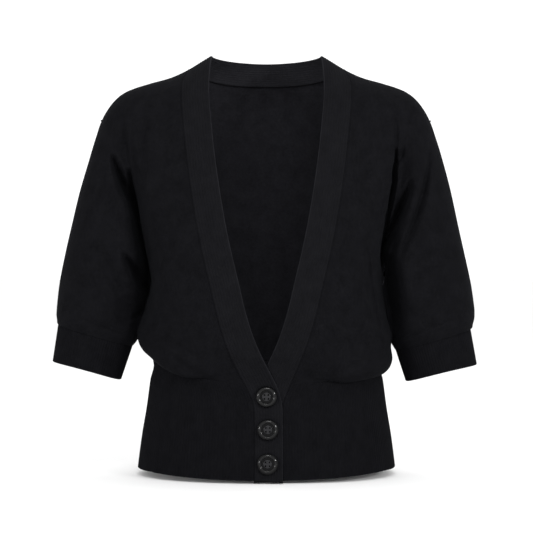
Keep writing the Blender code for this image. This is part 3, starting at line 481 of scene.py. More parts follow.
def edge_of_seam(z):
    """The point of the band's free edge that lies opposite its seam at a height."""
    return tuple(np.interp(z, BAND_LINES[::-1, 3], BAND_LINES[::-1, k]) for k in (0, 1))


def waist_height(heights, side, q, face):
    """Height of the waistband's top or hem: level at the side, then along a parabola."""
    reach = np.clip(np.abs(q) / WAIST_REACH, 0.0, 1.0)
    return heights[side] + (heights[face] - heights[side]) * (1 - reach**2)


# ---------------------------------------------------------------- grids of the cloth pieces

def upper_grid(side, face):
    """One half of a piece from the neck and shoulder down to the underarm.

    Columns run down from the over-arm line: at the back first those under the neck, then those
    of the body, which end at the deep fold, then those of the sleeve.
    """
    share = ((np.arange(ROWS + 1) / ROWS) ** ROW_SPREAD)[:, None]
    body = np.sin(np.pi / 2 * np.arange(BODY_STEPS + 1) / BODY_STEPS)
    sleeve = (1 - np.cos(np.pi * np.arange(1, SLEEVE_STEPS + 1) / SLEEVE_STEPS)) / 2
    fold_top = VALLEY[1][0][1]
    start_q = np.concatenate([SHOULDER_SEAM_Q + (fold_top - SHOULDER_SEAM_Q) * body,
                              fold_top + (SHOULDER_TIP - fold_top) * sleeve])
    start_z = read(OVER_ARM, "q", "z", start_q)
    end_z = np.concatenate([np.full(BODY_STEPS + 1, APEX),
                            APEX + (SLEEVE_END - APEX) * sleeve])
    z = start_z + (end_z - start_z) * share
    fold_q = read(VALLEY, "z", "q", z[:, BODY_STEPS])[:, None]
    outer_q = read(OVER_ARM, "z", "q", z[:, -1])[:, None]
    if face == "front":
        first_q = seam_q(z[:, 0])[:, None]
        first_q[0] = SHOULDER_SEAM_Q
    else:
        first_q = SHOULDER_SEAM_Q + (SIDE_REACH - SHOULDER_SEAM_Q) * share
    q = np.concatenate([first_q + (fold_q - first_q) * body,
                        fold_q + (outer_q - fold_q) * sleeve], axis=1)
    q[0] = start_q
    y = depth(q, z, face)
    y[0] = 0.0
    y[:, -1] = 0.0
    y[-1, BODY_STEPS] = 0.0
    if face == "back":
        turn = np.pi / 2 * (1 - np.arange(NECK_STEPS) / NECK_STEPS)
        neck_z = BACK_NECK + (start_z[0] - BACK_NECK) * np.cos(turn) ** 3
        neck_z = neck_z + (APEX - neck_z) * share
        neck_q = first_q * (np.cos(turn) * (1 - share) + (1 - 2 * turn / np.pi) * share)
        q = np.concatenate([neck_q, q], axis=1)
        z = np.concatenate([neck_z, z], axis=1)
        y = np.concatenate([depth(neck_q, neck_z, face), y], axis=1)
    return place_half(side, face, q, z, y)


def place_half(side, face, q, z, y):
    """Put a half into the garment: narrow and lower the left one towards the side, mirror it."""
    first = 0 if face == "front" else NECK_STEPS
    weight = np.clip((np.arange(q.shape[1]) - first) / BODY_STEPS, 0.0, 1.0)
    if side == "left":
        outside = np.clip((np.arange(q.shape[1]) - first - BODY_STEPS) / SLEEVE_STEPS, 0.0, 1.0)
        factor = (read(NARROWING, "z", "body", z) * (1 - outside)
                  + read(NARROWING, "z", "sleeve", z) * outside)
        q = q * (1 - weight * (1 - factor))
        z = z - LEFT_DROP * weight * np.clip(z / APEX, 0.0, 1.0)
    if face == "front":
        y = -(y + np.where(y > 0, overlap_shift(side, q, z), 0.0))
    x = SIDES[side] * q
    if face == "front":
        x = x + centre_shift(z) * (1 - weight)
    return np.stack([x, y, z], axis=-1)


def fine_roll(roll, steps):
    """Shares of the way out and of the height of a roll, read at even steps along it."""
    step = np.linspace(0.0, roll[1][-1][0], steps + 1)
    return np.stack([read(roll, "step", name, step) for name in ("out", "height")], axis=-1)[:, None]


def roll_down(start, rim, up, shares):
    """Loft from a row of points down to a rim, by shares of the way out and of the height."""
    drop = start - rim
    height = (drop * up).sum(-1, keepdims=True) * up
    outward = drop - height
    return rim + shares[..., 0, None] * outward + shares[..., 1, None] * height


def surface_points(side, face, q, z, centre_weight):
    """Points on the body's ovals, with the shifts of the placket on the front."""
    y = body_depth(q, z, face)
    x = SIDES[side] * q
    if face == "front":
        y = -(y + np.where(y > 0, overlap_shift(side, q, z), 0.0))
        x = x + centre_shift(z) * centre_weight
    return np.stack([x, y + 0.0, z], axis=-1)


def body_grid(side, face, start):
    """Body below the underarm, bloused over the waistband; beside the band it runs straight."""
    first = 0 if face == "front" else NECK_STEPS
    count = start.shape[0]
    share = np.clip(np.arange(count) - first, 0, None) / BODY_STEPS
    spread = np.sin(np.pi / 2 * share)
    rim_z = np.full(count, WAIST_TOP[face])
    for _ in range(SETTLING):
        half_width = read(BODY, "z", "half_width", rim_z)
        if face == "front":
            first_q = seam_q(rim_z[0])
            rim_q = first_q + (half_width - first_q) * spread
        else:
            neck = np.clip(np.arange(count) / NECK_STEPS, 0.0, 1.0)
            rim_q = SIDE_REACH * neck + (half_width - SIDE_REACH) * spread
        rim_z = waist_height(WAIST_TOP, side, rim_q, face) + RIM_GAP
    rim = surface_points(side, face, rim_q, rim_z, 1 - spread)
    at_side = ease(share, *SIDE_ROLL)[:, None]
    middle, edge = (fine_roll(BODY_ROLL[name], BLOUSE_STEPS) for name in ("middle", side))
    rolled = roll_down(start, rim, np.array([0.0, 0.0, 1.0]),
                       middle * (1 - at_side) + edge * at_side)
    if face == "back":
        return rolled
    down = (np.arange(BLOUSE_STEPS + 1) / BLOUSE_STEPS)[:, None]
    z = start[:, 2] + (rim[:, 2] - start[:, 2]) * down
    q = np.abs(start[:, 0]) + (np.abs(rim[:, 0]) - np.abs(start[:, 0])) * down
    q[:, 0] = seam_q(z[:, 0])
    straight = surface_points(side, face, q, z, 1 - spread)
    straight[0] = start
    weight = ease(share, 0.0, BLOUSE_FADE)[:, None]
    return straight * (1 - weight) + rolled * weight


def cuff_ring(side, level, turn):
    """Points of a cuff's oval at turns from its inner edge over the front, and its up direction."""
    outer_q, outer_z, inner_q, inner_z = CUFFS[side][level]
    outer = np.array([SIDES[side] * outer_q, 0.0, outer_z])
    inner = np.array([SIDES[side] * inner_q, 0.0, inner_z])
    centre, reach = (outer + inner) / 2, (outer - inner) / 2
    up = unit(np.array([-reach[2], 0.0, reach[0]]))
    up = up * np.sign(up[2])
    cos, sin = np.cos(turn)[:, None], np.sin(turn)[:, None]
    forward = np.array([0.0, -CUFF_DEPTH[level], 0.0])
    lift = CUFF_LIFT[level] * up * sin**2
    return centre - reach * cos + forward * sin + lift, up


def sleeve_grid(side, face, start):
    """Sleeve below the underarm, lying a little over its cuff."""
    turn = np.pi * np.arange(SLEEVE_STEPS + 1) / SLEEVE_STEPS
    rim, up = cuff_ring(side, "top", turn if face == "front" else -turn)
    rim[[0, -1], 1] = 0.0
    return roll_down(start, rim + RIM_GAP * up, up, fine_roll(SLEEVE_ROLL, SLEEVE_FOOT_STEPS))


def piece_patches(side, face):
    """The three grids of half a piece with their knitting coordinates, and how they are turned."""
    upper = upper_grid(side, face)
    fold = (0 if face == "front" else NECK_STEPS) + BODY_STEPS
    turned = (side == "right") == (face == "front")
    across, down = run_lengths(upper, 1), run_lengths(upper, 0)
    patches = [(upper, across, down, turned)]
    for grid, part in ((body_grid(side, face, upper[-1, :fold + 1]), slice(0, fold + 1)),
                       (sleeve_grid(side, face, upper[-1, fold:]), slice(fold, None))):
        below = down[-1, part] + run_lengths(grid, 0)
        patches.append((grid, np.broadcast_to(across[-1, part], below.shape), below, turned))
    return patches


# ---------------------------------------------------------------- sheets, walls and creases

def stitch(patches):
    """Join grids that share edge points into one list of points, quads and knitting coordinates."""
    points, quads, marks, count = [], [], [], 0
    for grid, across, down, turned in patches:
        quad = grid_quads(*grid.shape[:2]) + count
        quads.append(quad[:, ::-1] if turned else quad)
        points.append(grid.reshape(-1, 3))
        marks.append(np.stack([across, down], axis=-1).reshape(-1, 2))
        count += grid.shape[0] * grid.shape[1]
    points = np.round(np.concatenate(points), 4) + 0.0
    points, first, merged = np.unique(points, axis=0, return_index=True, return_inverse=True)
    quads = merged.reshape(-1)[np.concatenate(quads)]
    return points, quads, np.concatenate(marks)[first]


def vertex_normals(points, quads):
    """Normals weighted by the area of the quads round each point."""
    corner = points[quads]
    face = np.cross(corner[:, 2] - corner[:, 0], corner[:, 3] - corner[:, 1])
    normals = np.zeros_like(points)
    for k in range(4):
        np.add.at(normals, quads[:, k], face)
    return unit(normals)


def free_edges(quads):
    """Directed edges that only one quad uses."""
    start, end = quads.ravel(), np.roll(quads, -1, axis=1).ravel()
    count = quads.max() + 1
    alone = ~np.isin(start * count + end, end * count + start)
    return start[alone], end[alone]


def crease_share(fraction):
    """How deep a crease is along its length: a power of a sine that dies out at both ends."""
    return np.sin(np.pi * np.clip(fraction, 0.0, 1.0)) ** CREASE_END


def pressed(points, side, face, strength):
    """Press the creases of one face in along Y: bell troughs and ridges that die out at the ends.

    Section: exp(-(distance / half width)^CREASE_POWER) less a low swelling beside it. The half
    width narrows towards both ends, and differs on the body's side and the sleeve's. The cloth
    is held still where front and back meet, beside the front band's seam and at the waistband.
    """
    foot = WAIST_TOP[face]
    hold = ease(np.abs(points[:, 1]), *HELD_AT_SEAM)
    hold = hold * ease(points[:, 2], foot + HELD_AT_WAIST[0], foot + HELD_AT_WAIST[1])
    if face == "front":
        hold = hold * ease(np.abs(points[:, 0]) - seam_q(points[:, 2]), *HELD_AT_BAND)
    total = np.zeros(len(points))
    flat = points[:, [0, 2]]
    swell_at, swell_width = CREASE_SWELL
    for crease_side, crease_face, deep, body_width, sleeve_width, path in CREASES:
        if (crease_side, crease_face) != (side, face):
            continue
        line = np.array(path, float)
        reach = CREASE_REACH * max(body_width, sleeve_width)
        close = ((flat > line.min(0) - reach) & (flat < line.max(0) + reach)).all(1)
        close = np.flatnonzero(close)
        gap, along, farther = line_distance(flat[close], line)
        at_sleeve = ease(farther, -CREASE_TURN, CREASE_TURN)
        width = body_width * (1 - at_sleeve) + sleeve_width * at_sleeve
        fade = crease_share(along)
        ratio = gap / (width * (CREASE_TIP + (1 - CREASE_TIP) * fade))
        swelling = CREASE_RIDGE * np.exp(-((ratio - swell_at) / swell_width) ** 2)
        total[close] += deep * (np.exp(-ratio**CREASE_POWER) - swelling) * fade
    inward = -1.0 if face == "back" else 1.0
    moved = points.copy()
    moved[:, 1] += inward * total * hold * strength
    return moved


def walled(points, quads, normals, thickness):
    """Close a sheet into a wall: outer quads, inner quads and a rim along each free edge."""
    count = len(points)
    start, end = free_edges(quads)
    rim = np.stack([end, start, start + count, end + count], axis=-1)
    return (np.concatenate([points, points - normals * thickness]),
            np.concatenate([quads, quads[:, ::-1] + count, rim]))


def grid_normals(grid, closed, away_from):
    """Normals of a grid from its central differences, turned away from a point."""
    down = np.gradient(grid, axis=0)
    if closed:
        across = np.roll(grid, -1, axis=1) - np.roll(grid, 1, axis=1)
    else:
        across = np.gradient(grid, axis=1)
    normals = unit(np.cross(down, across))
    if ((grid - away_from) * normals).sum() < 0:
        normals = -normals
    return normals


def rib_height(phase):
    """Height of a rib over its groove: a rounded crest, 0 in the groove and 1 on top."""
    return np.abs(np.sin(np.pi * phase)) ** 0.75


def rounded_shell(outer, inner, closed):
    """Closed shell of two like grids: each column is a loop over a half-round rim at both ends.

    The two ends of the columns are joined by RIM_POINTS points on half ellipses; where the grid
    isn't closed, its first and last loop are filled with quads from one layer to the other.
    """
    turn = np.pi * (np.arange(RIM_POINTS) + 1) / (RIM_POINTS + 1)
    turn = turn[:, None, None]

    def rim(a, b, before):
        bulge = unit(a - before) * np.linalg.norm(a - b, axis=-1, keepdims=True) / 2
        return (a + b) / 2 + (a - b) / 2 * np.cos(turn) + bulge * np.sin(turn)

    foot = rim(outer[-1], inner[-1], outer[-2])
    top = rim(inner[0], outer[0], inner[1])
    half = RIM_POINTS // 2
    loop = np.concatenate([top[half:], outer, foot, inner[::-1], top[:half]])
    around, columns = loop.shape[:2]
    quads = grid_quads(around, columns, ring=True, tube=closed)
    if not closed:
        k = np.arange(around // 2 - 1)
        caps = [np.stack([k, around - 1 - k, around - 2 - k, k + 1], axis=-1) * columns,
                np.stack([k + 1, around - 2 - k, around - 1 - k, k], axis=-1) * columns
                + columns - 1]
        quads = np.concatenate([quads] + caps)
    return loop, quads


def outward(points, quads):
    """Quads turned so that the closed shell has a volume above zero."""
    corner = points[quads]
    volume = (corner[:, 0] * np.cross(corner[:, 1], corner[:, 2])).sum()
    volume += (corner[:, 0] * np.cross(corner[:, 2], corner[:, 3])).sum()
    return quads if volume > 0 else quads[:, ::-1]


# ---------------------------------------------------------------- ribbed pieces

def ribbed(grid, normals, ribs, sizes, closed, rims_across):
    """Rib knit over a grid: crests and grooves outside, shallower ones between them inside.

    Ribs stand side by side along axis 1. `rims_across` puts the rounded rims at the ends of
    axis 1, as on the front band, and else at the ends of axis 0, as on a hem.
    """
    steps = grid.shape[1] if closed else grid.shape[1] - 1
    phase = np.arange(grid.shape[1]) / steps * ribs
    relief, wall = sizes.rib_relief / MM, sizes.rib_wall / MM
    outer = grid + normals * relief * rib_height(phase)[:, None]
    inner = grid - normals * (wall - RIB_SETBACK + relief / 2 * rib_height(phase + 0.5)[:, None])
    across, down = run_lengths(grid, 1), run_lengths(grid, 0)
    if rims_across:
        outer, inner, across, down = (np.swapaxes(a, 0, 1) for a in (outer, inner, across, down))
    loop, quads = rounded_shell(outer, inner, closed)
    half = RIM_POINTS // 2
    marks = np.stack([across, down], axis=-1)
    lead, tail = np.repeat(marks[:1], half, 0), np.repeat(marks[-1:], RIM_POINTS, 0)
    rows = marks.shape[0]
    marks = np.concatenate([lead, marks, tail, marks[::-1], lead])
    points = loop.reshape(-1, 3)
    # Painted light: the inside is marked 1 and the rounded rims 0.5, so that the material colours
    # the rims half as much lighter, a painted highlight along the ribbed edges.
    reverse = np.repeat([0.0, 0.5, 1.0, 0.5], [half + rows, RIM_POINTS, rows, half])
    return (points, outward(points, quads), marks.reshape(-1, 2),
            np.repeat(reverse, loop.shape[1]))


def waist_row(side, face, share):
    """Line round half of the waistband at a share of its height, from the middle to the side."""
    z = np.full(LINE_POINTS, WAIST_TOP[face])
    turn = np.linspace(0.0, 1.0, LINE_POINTS)
    for _ in range(SETTLING):
        half_width = read(BODY, "z", "half_width", z)
        start = seam_q(z[0]) if face == "front" else 0.0
        begin = np.arcsin(start / half_width[0])
        q = half_width * np.sin(begin + (np.pi / 2 - begin) * turn)
        top = waist_height(WAIST_TOP, side, q, face)
        hem = waist_height(WAIST_HEM, side, q, face)
        z = top + (hem - top) * share
    points = surface_points(side, face, q, z, np.clip(1 - (q - q[0]) / WAIST_REACH, 0.0, 1.0))
    points[-1, 1] = 0.0
    return points


def side_seam_path(side):
    """Line of the waistband's side seam, moved in from the outer face; it ends above the hem."""
    shares = np.linspace(0.0, SIDE_SEAM_END, 40)
    path = np.array([waist_row(side, "front", share)[-1] for share in shares])
    path[:, 0] -= SIDES[side] * SIDE_SEAM_SUNK
    return path


def waistband(side, sizes):
    """Waistband of one front, or of the back from side seam to side seam."""
    shares = np.linspace(0.0, 1.0, WAIST_ROWS)
    if side == "back":
        rows = [np.concatenate([waist_row("right", "back", share)[::-1],
                                waist_row("left", "back", share)[1:]]) for share in shares]
    else:
        rows = [waist_row(side, "front", share) for share in shares]
    lengths = [run_lengths(row) for row in rows]
    ribs = round(lengths[0][-1] * MM / sizes.rib_pitch)
    share = np.linspace(0.0, 1.0, RIB_POINTS * ribs + 1)
    grid = np.array([spaced(row, length, SEAM_GAP / 2 + (length[-1] - SEAM_GAP) * share)
                     for row, length in zip(rows, lengths)])
    normals = grid_normals(grid, False, np.array(WAIST_CENTRE))
    return ribbed(grid, normals, ribs, sizes, False, False)


def cuff(side, sizes):
    """Ribbed cuff: a short straight tube between two ovals."""
    turn = 2 * np.pi * np.arange(RIB_POINTS * CUFF_RIBS) / (RIB_POINTS * CUFF_RIBS)
    top, hem = (cuff_ring(side, level, turn)[0] for level in ("top", "hem"))
    share = np.linspace(0.0, 1.0, CUFF_ROWS)[:, None, None]
    grid = top + (hem - top) * share
    normals = grid_normals(grid, True, grid.mean(axis=(0, 1)))
    return ribbed(grid, normals, CUFF_RIBS, sizes, True, False)


def band_half(side, across):
    """Rows across one half of the front band, from its foot up the V to the centre back.

    In front each row runs from the seam to the free edge opposite it. Behind the shoulder both
    lines turn with the neck: q falls as a cosine.
    """
    seam_z = np.concatenate([np.linspace(BAND_LINES[0, 3], BAND_CHEST, BAND_ROWS[0])[1:],
                             np.linspace(BAND_CHEST, WAIST_HEM["front"], BAND_ROWS[1])[1:]])
    seam = seam_q(seam_z)
    edge_q, edge_z = edge_of_seam(seam_z)
    foot = np.array([[seam[-1], PLACKET_FOOT["seam"], edge_q[-1], PLACKET_FOOT["edge"]]])
    lines = np.concatenate([np.column_stack([seam, seam_z, edge_q, edge_z]), foot])[::-1]
    q = lines[:, :1] + (lines[:, 2:3] - lines[:, :1]) * across
    z = lines[:, 1:2] + (lines[:, 3:4] - lines[:, 1:2]) * across
    y = np.where(z > APEX, depth(np.abs(q), z, "front"), body_depth(q, z, "front"))
    y = -(y + overlap_shift(side, q, z))
    front = np.stack([SIDES[side] * q + centre_shift(z), y, z], axis=-1)
    turn = (np.pi / 2 * np.arange(NECK_STEPS + 1) / NECK_STEPS)[:, None]
    shoulder_edge, shoulder_seam = BAND_LINES[0, :2], BAND_LINES[0, 2:]
    seam_line_z = BACK_NECK + (shoulder_seam[1] - BACK_NECK) * np.cos(turn) ** 3
    edge_line_z = BACK_NECK_EDGE + (shoulder_edge[1] - BACK_NECK_EDGE) * np.cos(turn) ** 2
    q = (shoulder_seam[0] * (1 - across) + shoulder_edge[0] * across) * np.cos(turn)
    z = seam_line_z * (1 - across) + edge_line_z * across
    y = depth(q, z, "back")
    y[0] = 0.0
    return np.concatenate([front, np.stack([SIDES[side] * q, y, z], axis=-1)])


def band_grid():
    """The whole front band from the right placket's foot round the neck to the left one's."""
    across = np.linspace(0.0, 1.0, RIB_POINTS * BAND_RIBS + 1)
    right, left = band_half("right", across), band_half("left", across)
    grid = np.concatenate([right, left[-2::-1]])
    width = np.linalg.norm(grid[:, -1] - grid[:, 0], axis=-1)[:, None]
    grid[:, 0] += (grid[:, -1] - grid[:, 0]) * BAND_INSET / width
    return grid


def front_band(sizes):
    """One ribbed strip from the right placket round the neck to the left placket."""
    grid = band_grid()
    normals = grid_normals(grid, False, np.array(BAND_CENTRE))
    return ribbed(grid, normals, BAND_RIBS, sizes, False, True)


# ---------------------------------------------------------------- seams, thread and buttons

def corded(path, radius, twist, sides=8, points_a_stitch=4):
    """Round cord along a path that swells once with every stitch or turn of its twist.

    The radius is radius * (1 + swell * (|sin(pi * distance / stitch length)| - 0.5)); both ends
    are drawn to a point. The twist gives stitch length and swell.
    """
    stitch_length, swell = twist
    travelled = run_lengths(path)
    count = int(max(travelled[-1] / stitch_length * points_a_stitch, 8))
    wanted = np.linspace(0.0, travelled[-1], count)
    line = spaced(path, travelled, wanted)
    along = unit(np.gradient(line, axis=0))
    helper = np.where(np.abs(along[:, 1:2]) < 0.8, [[0.0, 1.0, 0.0]], [[1.0, 0.0, 0.0]])
    side = unit(np.cross(along, helper))
    other = np.cross(along, side)
    wide = radius * (1 + swell * (np.abs(np.sin(np.pi * wanted / stitch_length)) - 0.5))
    wide[[0, -1]] = 0.001
    turn = 2 * np.pi * np.arange(sides) / sides
    ring = side[:, None] * np.cos(turn)[:, None] + other[:, None] * np.sin(turn)[:, None]
    points = line[:, None] + ring * wide[:, None, None]
    points = points.reshape(-1, 3)
    return points, outward(points, grid_quads(count, sides, tube=True))


def placket_frame(x, z):
    """Place and outward direction of the right placket's surface at a button."""
    step = 0.8 * BUTTON_RADIUS
    q = -(x - PLACKET_CENTRE) + np.array([0.0, -step, 0.0, step, 0.0])
    height = z + np.array([0.0, 0.0, step, 0.0, -step])
    y = -(body_depth(q, height, "front") + overlap_shift("right", q, height))
    across = Vector((2 * step, y[1] - y[3], 0.0))
    rising = Vector((0.0, y[2] - y[4], 2 * step))
    return Vector((x, y[0], z)), across.cross(rising).normalized()


def turned_profile(profile, sides):
    """Surface of revolution of a profile of radius and height."""
    turn = 2 * np.pi * np.arange(sides) / sides
    radius, height = np.array(profile).T
    points = np.stack([radius[:, None] * np.cos(turn), radius[:, None] * np.sin(turn),
                       np.broadcast_to(height[:, None], (len(radius), sides))], axis=-1)
    return points.reshape(-1, 3), grid_quads(len(radius), sides, tube=True)


def button_profile():
    """Radius and height of a button's section, from the web out over the rim and round behind.

    The rim is a round crest of about 4 mm radius, so that a softbox makes a glint on it.
    """
    top = BUTTON_THICKNESS / 2
    inside = BUTTON_RADIUS - BUTTON_RIM
    dish = top - BUTTON_DISH
    web = [(POLE, top - 0.8), (2.4, top - 0.84), (WEB_RADIUS - 0.5, top - 0.92),
           (WEB_RADIUS, top - 1.1), (WEB_RADIUS + 0.5, dish)]
    crest = [(inside - 1.7, dish), (inside - 1.2, dish + 0.15), (inside - 0.7, top - 0.62),
             (inside - 0.2, top - 0.26), (inside + 0.2, top - 0.07), (inside + 0.6, top),
             (inside + 1.0, top - 0.07), (inside + 1.5, top - 0.24), (inside + 2.0, top - 0.5),
             (inside + 2.5, top - 0.86), (inside + 3.0, top - 1.3)]
    behind = [(BUTTON_RADIUS, top - 2.1), (BUTTON_RADIUS - 0.4, 1.0 - top),
              (BUTTON_RADIUS - 1.4, 0.3 - top), (BUTTON_RADIUS - 3.0, -top), (POLE, -top)]
    return smooth_line(np.array(web + crest + behind), 3)


def turned_button(centre, turn):
    """Button turned from its profile, with four holes drilled through it by a Boolean."""
    points, quads = turned_profile(button_profile(), BUTTON_SIDES)
    body = linked("button_body", closed_mesh("button_body", points, outward(points, quads)))
    work = bmesh.new()
    for k in range(4):
        angle = np.pi / 2 * (k + 0.5)
        ring = HOLE_RING * MM
        shift = Matrix.Translation((ring * np.cos(angle), ring * np.sin(angle), 0.0))
        bmesh.ops.create_cone(work, cap_ends=True, segments=HOLE_SIDES, matrix=shift, depth=0.02,
                              radius1=HOLE_RADIUS * MM, radius2=HOLE_RADIUS * MM)
    drills = linked("drills", bpy.data.meshes.new("drills"))
    work.to_mesh(drills.data)
    work.free()
    boolean = body.modifiers.new("holes", "BOOLEAN")
    boolean.operation = "DIFFERENCE"
    boolean.solver = "EXACT"
    boolean.object = drills
    drawn = bpy.data.meshes.new_from_object(
        body.evaluated_get(bpy.context.evaluated_depsgraph_get()))
    for spent in (body, drills):
        bpy.data.objects.remove(spent, do_unlink=True)
    drawn.transform(Matrix.Translation(centre * MM) @ turn.to_matrix().to_4x4())
    drawn.shade_smooth()
    drawn.set_sharp_from_angle(angle=0.7)
    return drawn


def button_finishes(mesh, centre, axis, web, crest):
    """Give the web round the holes, matt and coloured lighter as a painted highlight, and the
    polished crest of the rim their own finishes.
    """
    mesh.materials.append(web)
    mesh.materials.append(crest)
    middle = np.empty(3 * len(mesh.polygons), dtype=np.float32)
    mesh.polygons.foreach_get("center", middle)
    offset = middle.reshape(-1, 3) / MM - np.array(centre)
    high = offset @ np.array(axis)
    wide = np.linalg.norm(offset - high[:, None] * np.array(axis), axis=1)
    from_crest = np.abs(wide - (BUTTON_RADIUS - BUTTON_RIM) - RIM_CREST[0])
    # The web gets the lighter colour: a painted highlight.
    on_web_painted_highlight = (wide < WEB_RADIUS) & (high > BUTTON_THICKNESS / 2 - BUTTON_DISH)
    on_crest = (from_crest < RIM_CREST[1]) & (high > BUTTON_THICKNESS / 2 - RIM_FALL)
    mesh.polygons.foreach_set("material_index", (on_web_painted_highlight + 2 * on_crest).astype(np.int32))


# ---------------------------------------------------------------- meshes and objects

def linked(name, data):
    """New object of this data in the scene."""
    made = bpy.data.objects.new(name, data)
    bpy.context.scene.collection.objects.link(made)
    return made


def closed_mesh(name, points, quads, marks=None, normals=None, reverse=None):
    """Smooth mesh in metres from millimetre points, with knitting coordinates as its UV map.

    The UV map holds the distance across and along the knitting in metres. The attribute
    `reverse` is 1 on the inside of the cloth and 0 on its face; the knit materials colour the
    inside lighter by it, a painted light.
    """
    mesh = bpy.data.meshes.new(name)
    mesh.vertices.add(len(points))
    mesh.vertices.foreach_set("co", (points * MM).astype(np.float32).ravel())
    mesh.loops.add(quads.size)
    mesh.loops.foreach_set("vertex_index", quads.astype(np.int32).ravel())
    mesh.polygons.add(len(quads))
    mesh.polygons.foreach_set("loop_start", np.arange(0, quads.size, 4, dtype=np.int32))
    mesh.update(calc_edges=True)
    mesh.validate()
    mesh.shade_smooth()
    if marks is not None:
        corner = np.empty(len(mesh.loops), dtype=np.int32)
        mesh.loops.foreach_get("vertex_index", corner)
        layer = mesh.uv_layers.new(name="knitting")
        layer.data.foreach_set("uv", (marks[corner] * MM).astype(np.float32).ravel())
    if reverse is not None:
        layer = mesh.attributes.new("reverse", "FLOAT", "POINT")
        layer.data.foreach_set("value", reverse.astype(np.float32))
    if normals is not None:
        mesh.normals_split_custom_set_from_vertices(normals.astype(np.float32).tolist())
    return mesh


def shown(name, mesh, finish, replaced=()):
    """Link a finished piece that rides on the one body, in its material slot."""
    mesh.materials.clear()
    mesh.materials.append(finish)
    made = linked(name, mesh)
    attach(made, "root")
    if replaced:
        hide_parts(*replaced)
    return made


def place_keys(points):
    """One whole number for each point: its three coordinates to a thousandth of a millimetre."""
    steps = np.round(points * 1000).astype(np.int64) + 2**19
    return (steps[:, 0] << 40) + (steps[:, 1] << 20) + steps[:, 2]


def shared_normals(patches):
    """Normals of all the cloth together, to look up by place, so that seams shade smoothly."""
    points, quads, _ = stitch([patch for piece in patches.values() for patch in piece])
    keys = place_keys(points)
    order = np.argsort(keys)
    return keys[order], vertex_normals(points, quads)[order]


def normals_at(points, shared):
    """The shared normals at these places."""
    return shared[1][np.searchsorted(shared[0], place_keys(points))]


def knit_layer(name, patches, shared, faces, strength, wall):
    """Walled and creased cloth of one piece; its edges keep the normals of its neighbours."""
    points, quads, marks = stitch([patch for side, face in faces for patch in patches[side, face]])
    creased = points.copy()
    for side, face in faces:
        mine = (face == "front") | (points[:, 0] * SIDES[side] >= 0.0)
        creased[mine] += (pressed(points, side, face, strength) - points)[mine]
    normals = vertex_normals(creased, quads)
    edge = np.abs(points[:, 1]) < 0.01
    normals[edge] = normals_at(points[edge], shared)
    shell, closed = walled(creased, quads, normals, wall)
    # The inside is marked 1, and the material colours it lighter there: painted light in the hollow.
    reverse = np.repeat([0.0, 1.0], len(points))
    return closed_mesh(name, shell, closed, np.concatenate([marks, marks]),
                       np.concatenate([normals, -normals]), reverse)


# ---------------------------------------------------------------- colours and materials

def linear_rgb(colour):
    """sRGB hex to linear light: value / 12.92 below 0.04045, else ((v + 0.055) / 1.055) ^ 2.4."""
    value = np.array([int(colour[k:k + 2], 16) / 255 for k in (0, 2, 4)])
    low, high = value / 12.92, ((value + 0.055) / 1.055) ** 2.4
    return tuple(float(v) for v in np.where(value <= 0.04045, low, high))


def add_node(tree, kind, inputs=(), **settings):
    """Add a node with its settings; each input takes a value, a socket or a node's first output."""
    node = tree.nodes.new(kind)
    for name, value in settings.items():
        setattr(node, name, value)
    for name, value in dict(inputs).items():
        source = value.outputs[0] if isinstance(value, bpy.types.Node) else value
        if isinstance(source, bpy.types.NodeSocket):
            tree.links.new(source, node.inputs[name])
        else:
            node.inputs[name].default_value = source
    return node


def new_material(name, colour):
    """Material with an emptied tree and its flat viewport colour set."""
    made = bpy.data.materials.new(name)
    made.use_nodes = True
    made.node_tree.nodes.clear()
    made.diffuse_color = (*colour, 1.0)
    return made, made.node_tree


